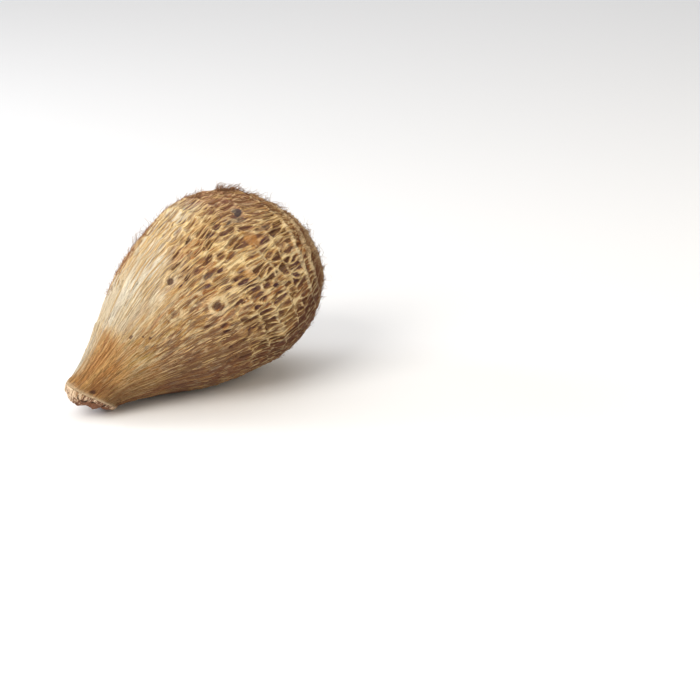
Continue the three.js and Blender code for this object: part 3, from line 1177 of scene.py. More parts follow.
def mesh_object(
    name: str, points: np.ndarray, corners: np.ndarray, starts: np.ndarray
) -> bpy.types.Object:
    """Puts worked-out points and faces into a smooth-shaded mesh at the origin.

    Args:
        name: Name of the object and mesh.
        points: Points in millimetres.
        corners: Corner indices of all faces in a run.
        starts: Index where each face starts.

    Returns:
        The new object.
    """
    mesh = bpy.data.meshes.new(name)
    mesh.vertices.add(len(points))
    mesh.vertices.foreach_set("co", (points * MM).astype(np.float32).ravel())
    mesh.loops.add(len(corners))
    mesh.loops.foreach_set("vertex_index", corners.astype(np.int32))
    mesh.polygons.add(len(starts))
    mesh.polygons.foreach_set("loop_start", starts.astype(np.int32))
    mesh.polygons.foreach_set("use_smooth", np.ones(len(starts), bool))
    mesh.update(calc_edges=True)
    mesh.validate()
    piece = bpy.data.objects.new(name, mesh)
    bpy.context.scene.collection.objects.link(piece)
    return piece


def store_vectors(piece: bpy.types.Object, name: str, values: np.ndarray) -> None:
    """Stores three values a point as an attribute of a piece."""
    layer = piece.data.attributes.new(name, "FLOAT_VECTOR", "POINT")
    layer.data.foreach_set("vector", values.astype(np.float32).ravel())


def empty_tree(owner: bpy.types.Material | bpy.types.World) -> bpy.types.NodeTree:
    """Clears the node tree of a material or a world, for its own nodes to go in."""
    owner.use_nodes = True
    owner.node_tree.nodes.clear()
    return owner.node_tree


@dataclass(frozen=True)
class Texture:
    """A random pattern of the skin's finish.

    Args:
        pitch: Rough distance between its features across the fibres, in millimetres.
        stretch: How many times shorter distances along the fibres are counted.
        detail: Number of finer layers.
        roughness: Strength of the finer layers.
    """

    pitch: float
    stretch: float = 1.0
    detail: float = 3.0
    roughness: float = 0.55


@dataclass(frozen=True)
class Sum:
    """A mask that is one value plus a share of another."""

    name: str
    first: str
    second: str
    share: float


@dataclass(frozen=True)
class Step:
    """A mask that is 0 where a value is at low, 1 where it is at high, and smooth between."""

    name: str
    source: str
    low: float
    high: float


@dataclass(frozen=True)
class Both:
    """A mask that is the product of two others."""

    name: str
    first: str
    second: str


@dataclass(frozen=True)
class Coat:
    """A colour laid over what is under it, where a mask says so."""

    mask: str
    colour: str
    strength: float


# Real fibres and cracks are a tenth of a millimetre wide and too fine to show, so the patterns
# that draw them are coarser, 1 to 3 mm apart.
TEXTURES = {
    "streak": Texture(2.6, 0.11, 4.0, 0.6),
    "fibre": Texture(1.9, 0.10, 2.0, 0.5),
    "thread": Texture(1.0, 0.10, 3.0, 0.6),
    "dash": Texture(1.3, 0.22, 3.0, 0.6),
    "crack": Texture(2.7, 0.04, 3.0, 0.5),
    "blotch": Texture(14.0, 0.6, 4.0, 0.6),
    "tint": Texture(8.0, 0.45, 4.0, 0.65),
    "mottle": Texture(4.0, 0.5, 4.0, 0.65),
    "grit": Texture(0.9, 0.6, 4.0, 0.7),
    "fleck": Texture(2.3, 0.38, 4.0, 0.68),
}
# The skin's attributes with the three masks that each holds, and the lines drawn where a texture
# is at its middle value.
FIELDS = {
    "marks": ("cell", "ridge", "ring"),
    "zones": ("neck", "cream", "under"),
    "spots": ("rust", "slate", "eye"),
    "ends": ("lip", "shag", "ochre"),
    "tones": ("shade", "freckle", "hue"),
}
LINES = (("fibre line", "fibre"), ("thread line", "thread"), ("crack line", "crack"))
# Masks made out of these, in three turns, and the masks that also make bumps, with their strength.
SUMS = (
    Sum("cell and thread", "cell", "thread", 0.7),
    Sum("ridge and thread", "ridge", "thread", 1.6),
    Sum("shade less ridge", "shade", "ridge and thread", -0.45),
    Sum("ridge and dash", "ridge", "dash", 1.2),
    Sum("ring and grit", "ring", "grit", 0.7),
    Sum("neck and streak", "neck", "streak", 0.6),
    Sum("under and mottle", "under", "mottle", 1.0),
    Sum("shade and mottle", "shade", "mottle", 1.1),
    Sum("shag and mottle", "shag", "mottle", 1.0),
    Sum("cream and mottle", "cream", "mottle", 0.9),
    Sum("freckle and dash", "freckle", "dash", -2.6),
    Sum("hue and tint", "hue", "tint", 1.8),
    Sum("hole and grit", "cell", "grit", 0.9),
    Sum("slate and fleck", "slate", "fleck", 1.6),
    Sum("rust and mottle", "rust", "mottle", 1.2),
    Sum("eye and grit", "eye", "grit", 0.8),
    Sum("eye and mottle", "eye", "mottle", 1.0),
    Sum("crag and grit", "ridge", "grit", 3.0),
)
STEPS = (
    Step("pale streak", "streak", 0.50, 0.60),
    Step("dark streak", "streak", 0.48, 0.38),
    Step("pale fibre", "fibre line", 0.05, 0.015),
    Step("pale thread", "thread line", 0.05, 0.01),
    Step("dark thread", "thread", 0.47, 0.36),
    Step("pale dash", "dash", 0.53, 0.62),
    Step("dark crack", "crack line", 0.028, 0.010),
    Step("warm tint", "hue and tint", 0.95, 1.25),
    Step("mauve tint", "hue and tint", 0.85, 0.55),
    Step("blotches", "blotch", 0.48, 0.60),
    Step("mottles", "mottle", 0.50, 0.62),
    Step("dark cell", "cell and thread", 0.48, 0.95),
    Step("pale ridge", "ridge and thread", 1.20, 1.75),
    # "ridge core" pales the middle of every ridge: partly the fibres' own colour, partly a painted
    # highlight.
    Step("ridge core", "ridge and dash", 1.30, 1.62),
    Step("pale ring", "ring and grit", 0.55, 0.95),
    Step("on neck", "neck and streak", 0.48, 1.22),
    # "on under", "on shade" and "shade flat" darken the low side, the tip and the low neck: partly their
    # own brown, partly painted shade.
    Step("on under", "under and mottle", 0.75, 1.25),
    Step("on shade", "shade and mottle", 0.70, 1.25),
    Step("shade flat", "shade less ridge", -0.25, 1.05),
    Step("on shag", "shag and mottle", 0.75, 1.2),
    Step("on cream", "cream and mottle", 0.50, 1.15),
    Step("freckles", "freckle and dash", -0.30, -0.04),
    Step("pit", "eye and grit", 0.70, 1.10),
    Step("on slate", "slate and fleck", 0.95, 1.45),
    Step("on rust", "rust and mottle", 0.85, 1.35),
    Step("rim", "eye and mottle", 0.42, 0.22),
    Step("hole", "hole and grit", 0.62, 0.90),
    Step("crags", "crag and grit", 2.15, 2.60),
    Step("dark grit", "grit", 0.45, 0.37),
    Step("face", "along", -14.0, -16.0),
    Step("dark fleck", "fleck", 0.47, 0.37),
    Step("rose", "hue", 0.0, -0.4),
    Step("pale fleck", "fleck", 0.54, 0.63),
)
PRODUCTS = (
    Both("neck light", "on neck", "pale streak"),
    Both("neck dark", "on neck", "dark streak"),
    Both("neck thread", "on neck", "pale fibre"),
    Both("cream crack", "on cream", "dark crack"),
    Both("cream bloom", "on cream", "blotches"),
    Both("plum cell", "dark cell", "blotches"),
    Both("cell thread", "dark cell", "pale thread"),
    Both("under fibre", "on under", "pale fibre"),
    Both("shade thread", "on shade", "pale fibre"),
    Both("shag fibre", "on shag", "pale thread"),
    Both("cork light", "face", "mottles"),
    Both("cork hole", "face", "hole"),
    Both("cork rim", "face", "crags"),
    Both("cork speck", "face", "dark grit"),
    Both("olive patch", "ochre", "blotches"),
    Both("fleck dark", "freckle", "dark fleck"),
    Both("fleck pale", "freckle", "pale fleck"),
)
BUMPS = (("pale fibre", 0.6), ("thread", 0.9), ("dash", 0.7), ("grit", 0.6))


@dataclass(frozen=True)
class CorkySkin:
    """Dry corm skin, as it grew: matt and fibrous.

    Pale straw ridges and fibres catch the light on a tan ground, and each ridge's middle is paler,
    partly its own colour and partly a painted highlight. Cells are purplish brown, the neck is
    orange-brown and smoother, its upper far edge pale, partly pale skin and partly a painted
    highlight, one side is cream, the low side, the tip and the low neck are dark brown, partly
    own colour and partly painted shade, and the end scar is brown cork inside a pale lip.
    """

    name: str = "dry corm skin, grown"
    ground: str = "#C59655"
    straw: str = "#E4CCA2"
    bright: str = "#F2DDB0"
    gold: str = "#E8C886"
    deep: str = "#7C4E2B"
    cream: str = "#DAD0B6"
    bloom: str = "#E6E3D6"
    cream_crack: str = "#80623E"
    warm: str = "#B06A34"
    mauve: str = "#A2806F"
    rose: str = "#B5846C"
    ochre: str = "#96703A"
    olive: str = "#B49444"
    neck: str = "#B87E42"
    neck_light: str = "#DDB070"
    neck_deep: str = "#754820"
    under: str = "#76522F"
    shade: str = "#672F19"
    shade_light: str = "#C88A4C"
    shade_dark: str = "#522D1B"
    shag: str = "#A0622F"
    wash: str = "#AC662E"
    cell: str = "#5A3730"
    cell_plum: str = "#583C52"
    rust: str = "#A9743C"
    slate: str = "#38313A"
    cork: str = "#85573C"
    cork_light: str = "#B08A62"
    cork_rim: str = "#E6CCAC"
    cork_pit: str = "#3E291B"
    lip: str = "#F2D8B4"
    roughness: float = 0.85
    ior: float = 1.45
    bump_mm: float = 1.3

    def coats(self) -> tuple[Coat, ...]:
        """Lists the colours from the ground upwards.

        Returns:
            The coats, each with its mask's name, its colour and how strongly it covers.
        """
        return (
            Coat("pale streak", self.straw, 0.48), Coat("dark streak", self.deep, 0.5),
            Coat("mauve tint", self.mauve, 0.55), Coat("mottles", self.straw, 0.2),
            Coat("ochre", self.ochre, 0.78), Coat("olive patch", self.olive, 0.5),
            Coat("warm tint", self.warm, 0.5), Coat("pale fibre", self.straw, 0.7),
            Coat("pale dash", self.bright, 0.38), Coat("on cream", self.cream, 0.74),
            Coat("cream bloom", self.bloom, 0.42), Coat("cream crack", self.cream_crack, 0.85),
            Coat("on neck", self.neck, 0.9), Coat("neck light", self.neck_light, 0.6),
            Coat("neck dark", self.neck_deep, 0.5), Coat("neck thread", self.neck_light, 0.5),
            # "on under" darkens the low side: partly its own brown, partly painted shade.
            Coat("on under", self.under, 0.62), Coat("under fibre", self.ground, 0.6),
            # "on shade" lays the dark brown of the low side, the tip and the low neck: partly own brown,
            # partly painted shade.
            Coat("on shag", self.shag, 0.75), Coat("on shade", self.shade, 0.8),
            Coat("fleck pale", self.straw, 0.42), Coat("fleck dark", self.deep, 0.46),
            Coat("shag fibre", self.ground, 0.6), Coat("shade thread", self.shade_light, 0.7),
            Coat("dark cell", self.cell, 0.88), Coat("plum cell", self.cell_plum, 0.8),
            Coat("cell thread", self.ground, 0.5), Coat("pale ridge", self.gold, 0.82),
            # "ridge core": partly the ridges' own pale colour, partly a painted highlight.
            Coat("ridge core", self.bright, 0.65), Coat("pale ring", self.bright, 0.8),
            Coat("freckles", self.cell, 0.6), Coat("dark thread", self.deep, 0.36),
            # "under" and "shade flat" darken the low side again, partly own brown and partly painted
            # shade, "shade flat" less on ridges.
            Coat("rose", self.rose, 0.42), Coat("under", self.under, 0.22),
            Coat("shade flat", self.shade_dark, 0.78), Coat("shag", self.wash, 0.24),
            Coat("on rust", self.rust, 0.65), Coat("on slate", self.slate, 0.88),
            Coat("rim", self.bright, 0.5), Coat("pit", self.cell, 0.8), Coat("lip", self.lip, 0.9),
            Coat("face", self.cork, 1.0), Coat("cork light", self.cork_light, 0.8),
            Coat("cork rim", self.cork_rim, 0.9), Coat("cork speck", self.cork_pit, 0.75),
            Coat("cork hole", self.cork_pit, 0.95),
        )

    def masks(self, tree: bpy.types.NodeTree) -> dict[str, bpy.types.NodeSocket]:
        """Reads the skin's attributes and adds textures, and makes masks out of both.

        A texture's level line at its middle value is a thin wandering thread, which gives single
        fibres and cracks.

        Args:
            tree: Node tree of the material.

        Returns:
            The socket of every mask by name.
        """
        mask: dict[str, bpy.types.NodeSocket] = {}
        for field_name, names in FIELDS.items():
            source = add_node(tree, "ShaderNodeAttribute", attribute_name=field_name)
            parts = add_node(tree, "ShaderNodeSeparateXYZ", {0: source.outputs["Vector"]})
            mask.update(zip(names, parts.outputs))
        lie = add_node(tree, "ShaderNodeAttribute", attribute_name="lie").outputs["Vector"]
        mask["along"] = add_node(tree, "ShaderNodeSeparateXYZ", {0: lie}).outputs[2]
        for texture_name, texture in TEXTURES.items():
            stretched = add_node(
                tree, "ShaderNodeMapping", {"Vector": lie, "Scale": (1, 1, texture.stretch)}
            )
            mask[texture_name] = add_node(tree, "ShaderNodeTexNoise", {
                "Vector": stretched.outputs[0], "Scale": 1 / texture.pitch,
                "Detail": texture.detail, "Roughness": texture.roughness,
            }).outputs[0]
        for line_name, source_name in LINES:
            away = add_node(
                tree, "ShaderNodeMath", {0: mask[source_name], 1: NOISE_MIDDLE}, operation="SUBTRACT"
            ).outputs[0]
            mask[line_name] = add_node(
                tree, "ShaderNodeMath", {0: away}, operation="ABSOLUTE"
            ).outputs[0]
        for row in SUMS:
            mask[row.name] = add_node(tree, "ShaderNodeMath", {
                0: mask[row.second], 1: row.share, 2: mask[row.first],
            }, operation="MULTIPLY_ADD").outputs[0]
        for row in STEPS:
            mask[row.name] = add_node(tree, "ShaderNodeMapRange", {
                "Value": mask[row.source], "From Min": row.low, "From Max": row.high,
            }, interpolation_type="SMOOTHSTEP").outputs[0]
        for row in PRODUCTS:
            mask[row.name] = add_node(
                tree, "ShaderNodeMath", {0: mask[row.first], 1: mask[row.second]}, operation="MULTIPLY"
            ).outputs[0]
        return mask

    def material(self) -> bpy.types.Material:
        """Builds the node tree: fibres and streaks, zones, cells, rings, eyes and the scar.

        Returns:
            The material.
        """
        made = bpy.data.materials.new(self.name)
        tree = empty_tree(made)
        mask = self.masks(tree)
        colour: Any = linear(self.ground)
        for coat in self.coats():
            amount = add_node(
                tree, "ShaderNodeMath", {0: mask[coat.mask], 1: coat.strength}, operation="MULTIPLY"
            ).outputs[0]
            colour = add_node(tree, "ShaderNodeMix", {
                0: amount, MIX_BELOW: colour, MIX_LAID: linear(coat.colour),
            }, data_type="RGBA").outputs[MIX_OUT]
        normal: Any = (0.0, 0.0, 0.0)
        for height_name, strength in BUMPS:
            feeds = {"Height": mask[height_name], "Strength": strength, "Distance": self.bump_mm * MM}
            if isinstance(normal, bpy.types.NodeSocket):
                feeds["Normal"] = normal
            normal = add_node(tree, "ShaderNodeBump", feeds).outputs[0]
        surface = add_node(tree, "ShaderNodeBsdfPrincipled", {
            "Base Color": colour, "Roughness": self.roughness, "IOR": self.ior, "Normal": normal,
        })
        add_node(tree, "ShaderNodeOutputMaterial", {0: surface.outputs[0]})
        return made


class Growth(Enum):
    """Where the roots of loose hairs lie: along the rings of leaf scars, or anywhere."""

    RINGS = "rings"
    ANYWHERE = "anywhere"


@dataclass(frozen=True)
class DryFibre:
    """Dry leaf-base fibre, frayed: matt threads, darker at the root than at the loose end."""

    name: str
    root: str
    end: str
    shaded: str = "#6E3E1C"
    roughness: float = 0.7
    ior: float = 1.5

    def material(self) -> bpy.types.Material:
        """Builds the node tree: a colour that runs from root to end, varied from fibre to fibre,
        and darker where the fibre lies on the skin's dark zones, partly painted shade.

        Returns:
            The material.
        """
        made = bpy.data.materials.new(self.name)
        tree = empty_tree(made)
        source = add_node(tree, "ShaderNodeAttribute", attribute_name="strand")
        along, chance, shade = add_node(
            tree, "ShaderNodeSeparateXYZ", {0: source.outputs["Vector"]}
        ).outputs
        mixed = add_node(tree, "ShaderNodeMath", {0: along, 1: chance}, operation="MULTIPLY").outputs[0]
        colour: Any = linear(self.root)
        # The second mix darkens fibres on the skin's dark zones: partly their own brown, partly painted
        # shade.
        for amount, laid in ((mixed, self.end), (shade, self.shaded)):
            colour = add_node(tree, "ShaderNodeMix", {
                0: amount, MIX_BELOW: colour, MIX_LAID: linear(laid),
            }, data_type="RGBA").outputs[MIX_OUT]
        surface = add_node(tree, "ShaderNodeBsdfPrincipled", {
            "Base Color": colour, "Roughness": self.roughness, "IOR": self.ior,
        }).outputs[0]
        add_node(tree, "ShaderNodeOutputMaterial", {0: surface})
        return made


# A direction that leans off the vertical, and the lowest height of a strand in millimetres.
LEANING = (0.17, 0.31, 0.94)
LOWEST = 0.02


def tubes(
    name: str, paths: np.ndarray, radii: np.ndarray, sides: int, chance: np.ndarray, shade: np.ndarray
) -> bpy.types.Object:
    """Sweeps a small polygon along many paths at once and closes both ends.

    At each point the polygon's corners stand off by the radius, on two directions square to the
    path: the path's direction crossed with one that leans off the vertical, and that crossed with
    the path again. No point goes under the floor.

    Args:
        name: Name of the object.
        paths: Points of every path, shaped (paths, points, 3), in millimetres.
        radii: Radius at every point, shaped (paths, points).
        sides: Corners of the polygon.
        chance: A random number for each path, kept for the finish.
        shade: How much each path is in the skin's dark zones, which are partly painted shade, kept
            for the finish.

    Returns:
        One object holding every tube.
    """
    count, steps, _ = paths.shape
    ahead = unit(np.gradient(paths, axis=1))
    across = unit(np.cross(ahead, np.array(LEANING)))
    upward = np.cross(across, ahead)
    turns = np.arange(sides) / sides * TAU
    ring = across[:, :, None] * np.cos(turns)[:, None] + upward[:, :, None] * np.sin(turns)[:, None]
    points = paths[:, :, None] + ring * radii[:, :, None, None]
    points = points.reshape(-1, 3)
    points[:, 2] = np.maximum(points[:, 2], LOWEST)
    here = np.arange(sides)
    onward = (here + 1) % sides
    base = (np.arange(count) * steps * sides)[:, None, None]
    row = (np.arange(steps - 1) * sides)[None, :, None]
    low, high = base + row, base + row + sides
    walls = np.stack([low + here, high + here, high + onward, low + onward], -1).reshape(-1)
    first = (base[:, 0] + here).reshape(-1)
    last = (base[:, 0] + (steps - 1) * sides + here[::-1]).reshape(-1)
    corners = np.concatenate([walls, first, last])
    sizes = np.concatenate([np.full(len(walls) // 4, 4), np.full(2 * count, sides)])
    starts = np.r_[0, np.cumsum(sizes)[:-1]]
    piece = mesh_object(name, points, corners, starts)
    along = np.linspace(0, 1, steps)[None, :, None]
    values = [along, chance[:, None, None], shade[:, None, None]]
    values = np.stack([np.broadcast_to(value, (count, steps, sides)) for value in values], -1)
    store_vectors(piece, "strand", values)
    return piece


def kept_near(
    paths: np.ndarray, spare: float = 0.02, lowest: float = 0.3, least: float = 1e-3
) -> np.ndarray:
    """Shrinks each path about its first point until none of it leaves the solid's box.

    For every point and axis, the room from the first point to the box's wall is divided by how
    far the point goes that way. The smallest of these, if under 1, scales the path.

    Args:
        paths: Points of every path, shaped (paths, points, 3), in millimetres.
        spare: Share of the box's side that a path may stand out by.
        lowest: Lowest height of a point above the floor in millimetres.
        least: Distance in millimetres under which a point is taken to stay where the path starts.

    Returns:
        The paths, shrunk where they need it.
    """
    low, high = np.array(CAD_BOX) / MM
    margin = spare * (high - low)
    low, high = low - margin, high + margin
    low[2] = lowest
    root = paths[:, :1]
    offset = paths - root
    room = np.where(offset > 0, high - root, low - root)
    away = np.abs(offset) > least
    share = np.where(away, room / np.where(away, offset, 1.0), 1.0)
    scale = np.clip(share.min(axis=(1, 2)), 0.0, 1.0)
    return root + offset * scale[:, None, None]


@dataclass
class Strands:
    """Raised fibres that lie along the skin.

    A strand's start, by share of the length and degrees round the axis, its radius in millimetres
    and its reach, a share of the length, are each drawn between two limits.
    """

    skin: Skin
    name: str
    count: int
    share: tuple[float, float]
    degrees: tuple[float, float]
    seed: int
    radius: tuple[float, float] = (0.13, 0.30)
    reach: tuple[float, float] = (0.04, 0.15)
    raised: float = 0.5
    buried: float = 1.4
    taper: Span = (0.25, 0.75)
    last: float = 0.985
    bare_tip: Span = (0.88, 0.95)
    shaded: float = 0.85
    steps: int = 16
    sides: int = 4

    def build(self) -> bpy.types.Object:
        """Lays every strand along the skin, where it sways with the fibres of the skin.

        A strand is thickest at its middle, stands proud of the skin there and dips under it at
        both ends. It stays buried at eyes, at patches and on the end of the tip.

        Returns:
            One object holding all strands.
        """
        random = np.random.default_rng(self.seed)
        share = random.uniform(*self.share, self.count)
        angle = np.radians(random.uniform(*self.degrees, self.count)) % TAU
        reach = random.uniform(*self.reach, self.count)
        run = np.linspace(0, 1, self.steps)
        shares = np.minimum(share[:, None] + reach[:, None] * run, self.last)
        form = self.skin.form
        straight = np.broadcast_to(angle[:, None], shares.shape)
        angles = (2 * straight - self.skin.swayed(shares, straight)) % TAU
        height = self.skin.relief(shares, angles).height
        _, eye = self.skin.eyes(shares, angles)
        bare = np.abs(eye) + np.add(*self.skin.patches(shares, angles))
        bare = np.clip(bare + smooth(*self.bare_tip, shares), 0, 1)
        middle = np.sin(np.pi * run)[None]
        radii = random.uniform(*self.radius, self.count)[:, None]
        radii = radii * (self.taper[0] + self.taper[1] * np.sqrt(middle))
        lift = radii * (middle * (0.5 + self.raised) - 0.5) - self.buried * bare
        paths = form.side(shares, angles, height + lift)
        # Strands over the skin's dark zones are darkened, partly painted shade.
        shade = self.shaded * self.skin.shade(share + reach / 2, angle)
        return tubes(self.name, paths, radii, self.sides, random.uniform(0, 1, self.count), shade)


@dataclass
class Hairs:
    """Loose hairs left by old leaf bases, in clumps.

    A clump's place, by share of the length and degrees round the axis, a hair's length in
    millimetres and its lift away from the skin are each drawn between two limits.
    """

    skin: Skin
    name: str
    growth: Growth
    clumps: int
    each: int
    share: tuple[float, float]
    degrees: tuple[float, float]
    length: tuple[float, float]
    lift: tuple[float, float]
    seed: int
    radius: float = 0.15
    spread: float = 1.1
    spread_along: float = 0.6
    least_radius: float = 2.2
    rooted: Span = (0.001, 0.995)
    ahead: Span = (0.01, 0.999)
    steep: Span = (0.9, 1.0)
    curl: float = 0.33
    curl_mix: Span = (0.6, 0.7)
    waves: Span = (0.6, 1.8)
    wavy: float = 0.35
    bowed: float = 0.5
    taper: float = 0.75
    unlike: Span = (0.6, 1.3)
    sink: float = 0.8
    shaded: float = 0.5
    steps: int = 8
    sides: int = 3

    def roots(self, random: np.random.Generator) -> tuple[np.ndarray, np.ndarray]:
        """Places of the hairs' roots: clumps are drawn first, then hairs spread about them.

        Args:
            random: Source of random numbers.

        Returns:
            Shares of the length and angles.
        """
        share = random.uniform(*self.share, self.clumps)
        if self.growth is Growth.RINGS:
            rings = np.array((*self.skin.rings.neck, *self.skin.rings.body))
            rings = rings[(rings >= self.share[0]) & (rings <= self.share[1])]
            share = random.choice(rings, self.clumps)
        angle = np.radians(random.uniform(*self.degrees, self.clumps))
        share, angle = np.repeat(share, self.each), np.repeat(angle, self.each)
        radius = np.maximum(self.skin.form.radius(share), self.least_radius)
        along = random.normal(0, self.spread * self.spread_along, share.size)
        angle = angle + random.normal(0, self.spread, angle.size) / radius
        return np.clip(share + along / self.skin.form.length, *self.rooted), angle % TAU

    def build(self) -> bpy.types.Object:
        """Grows each hair from its root along the skin and away from it, curling as it goes.

        A hair runs from its root in a straight line, plus a bow that grows with the square of
        the way along it, plus a wave to the side and up and down.

        Returns:
            One object holding all hairs of this kind.
        """
        random = np.random.default_rng(self.seed)
        share, angle = self.roots(random)
        count = share.size
        form = self.skin.form
        height = self.skin.relief(share, angle).height
        root = form.side(share, angle, height - self.sink)
        outward = form.outward(angle)
        step, last = self.ahead
        ahead = form.side(np.minimum(share + step, last), angle, height)
        ahead = unit(ahead - form.side(share, angle, height))
        steep = smooth(*self.steep, share)[:, None]
        away = outward * (1 - steep) + form.onward() * steep
        start = unit(ahead + away * random.uniform(*self.lift, count)[:, None])
        sideways = unit(np.cross(start, away))
        upward = np.cross(sideways, start)
        reach = random.uniform(*self.length, count)[:, None, None]
        run = np.linspace(0, 1, self.steps)[None, :, None]
        shared = np.repeat(random.normal(0, self.curl, (2, self.clumps)), self.each, axis=1)
        own = random.normal(0, self.curl, (2, count))
        bend, curl = self.curl_mix[0] * shared + self.curl_mix[1] * own
        bend, curl = bend[:, None, None], curl[:, None, None]
        phase = random.uniform(0, TAU, (count, 1, 1))
        turns = random.uniform(*self.waves, (count, 1, 1))
        wave = np.sin(phase + TAU * turns * run) - np.sin(phase)
        swing = np.cos(phase + TAU * turns * run) - np.cos(phase)
        aside = sideways[:, None] * (bend * run ** 2 + self.wavy * curl * wave)
        raised = upward[:, None] * (self.bowed * curl * run ** 2 + self.wavy * bend * swing)
        paths = kept_near(root[:, None] + reach * (start[:, None] * run + aside + raised))
        radii = self.radius * (1 - self.taper * run[..., 0])
        radii = radii * random.uniform(*self.unlike, (count, 1))
        # Hairs rooted in the skin's dark zones are darkened, partly painted shade.
        shade = self.shaded * self.skin.shade(share, angle)
        return tubes(self.name, paths, radii, self.sides, random.uniform(0, 1, count), shade)


def place(thing: bpy.types.Object, at: np.ndarray, back: np.ndarray) -> None:
    """Puts a lamp or the camera in the scene, level, with its back turned in a direction.

    Args:
        thing: The lamp or camera.
        at: Its place in metres.
        back: The direction, with a length of one.
    """
    right = unit(np.cross([0.0, 0.0, 1.0], back))
    axes = np.column_stack([right, np.cross(back, right), back, at])
    thing.matrix_world = Matrix([*axes.tolist(), [0, 0, 0, 1]])
    bpy.context.scene.collection.objects.link(thing)


@dataclass(frozen=True)
class Lamp:
    """A square soft light: its name, place and side in metres, its power in watts and its colour."""

    name: str
    at: tuple[float, float, float]
    side: float
    watts: float
    colour: str

    def hang(self, aim: np.ndarray) -> None:
        """Hangs the light so that it faces a point.

        Args:
            aim: The point in metres.
        """
        light = bpy.data.lights.new(self.name, "AREA")
        light.size = self.side
        light.energy = self.watts
        light.color = linear(self.colour)[:3]
        at = np.array(self.at)
        place(bpy.data.objects.new(self.name, light), at, unit(at - aim))


@dataclass
class Studio:
    """Floor, lights, surroundings and the camera.

    The floor's half side, the lamps and their aim are in metres. The camera's distance from the
    point that lies an axis height under the start of the corm's axis, and its shifts across and
    up from there, are in millimetres, like its lens and sensor.
    """

    floor_half: float = 6.0
    floor_colour: str = "#EFF2F8"
    floor_roughness: float = 0.9
    lamps: tuple[Lamp, ...] = (
        Lamp("key", (-0.76, -0.12, 0.66), 0.6, 8.1, "#FFF8EC"),
        Lamp("rim", (-0.55, 0.75, 0.40), 0.4, 4.6, "#FFFFFF"),
        Lamp("fill", (0.48, -0.80, 0.50), 0.7, 3.4, "#FFEFD2"),
        Lamp("top", (0.30, 0.90, 2.40), 3.2, 30.0, "#FFFFFF"),
    )
    aim: tuple[float, float, float] = (0.0, 0.0, 0.045)
    world_colour: str = "#F7F2EA"
    world_strength: float = 0.42
    azimuth: float = math.radians(-40.2)
    elevation: float = math.radians(20.91)
    across: float = 122.46
    raised: float = 30.39
    distance: float = 827.03
    axis_height: float = 8.54
    lens: float = 92.57
    sensor: float = 36.0

    def floor(self) -> bpy.types.Object:
        """Makes the floor as one large square of matt painted board, which shows only soft shadows.

        Returns:
            The floor.
        """
        half = self.floor_half / MM
        points = half * np.array([(-1, -1, 0), (1, -1, 0), (1, 1, 0), (-1, 1, 0)], float)
        floor = mesh_object("floor", points, np.arange(4), np.array([0]))
        made = bpy.data.materials.new("painted board, matt")
        tree = empty_tree(made)
        surface = add_node(tree, "ShaderNodeBsdfPrincipled", {
            "Base Color": linear(self.floor_colour), "Roughness": self.floor_roughness,
        }).outputs[0]
        add_node(tree, "ShaderNodeOutputMaterial", {0: surface})
        floor.data.materials.append(made)
        return floor

    def lights(self) -> None:
        """Hangs the lamps, all facing the middle of the corm."""
        for lamp in self.lamps:
            lamp.hang(np.array(self.aim))

    def world(self) -> None:
        """Sets even pale surroundings, and colours that are shown as they are."""
        world = bpy.data.worlds.new("studio")
        tree = empty_tree(world)
        glow = add_node(tree, "ShaderNodeBackground", {
            "Color": linear(self.world_colour), "Strength": self.world_strength,
        }).outputs[0]
        add_node(tree, "ShaderNodeOutputWorld", {0: glow})
        bpy.context.scene.world = world
        bpy.context.scene.view_settings.view_transform = "Standard"

    def camera(self, start: tuple[float, float, float]) -> None:
        """Sets the camera by its azimuth, elevation and distance from the neck end of the axis.

        Args:
            start: Where the corm's axis starts, in millimetres.
        """
        a, e = self.azimuth, self.elevation
        back = np.array([math.sin(a) * math.cos(e), -math.cos(a) * math.cos(e), math.sin(e)])
        right = np.array([math.cos(a), math.sin(a), 0.0])
        up = np.cross(back, right)
        at = right * self.across + up * self.raised + back * self.distance
        at = (at + np.array(start) - np.array([0.0, 0.0, self.axis_height])) * MM
        lens = bpy.data.cameras.new("camera")
        lens.lens = self.lens
        lens.sensor_width = self.sensor
        camera = bpy.data.objects.new("camera", lens)
        place(camera, at, back)
        bpy.context.scene.camera = camera


def dress(piece: bpy.types.Object, material: bpy.types.Material, slot: Slot) -> None:
    """Gives a piece its finish and its body, and reports it.

    Args:
        piece: The piece.
        material: Its finish.
        slot: The record's material slot; not used.
    """
    piece.data.materials.append(material)
    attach(piece, BODY)
    piece.data.calc_loop_triangles()
    LOG.info("%s: %d triangles", piece.name, len(piece.data.loop_triangles))


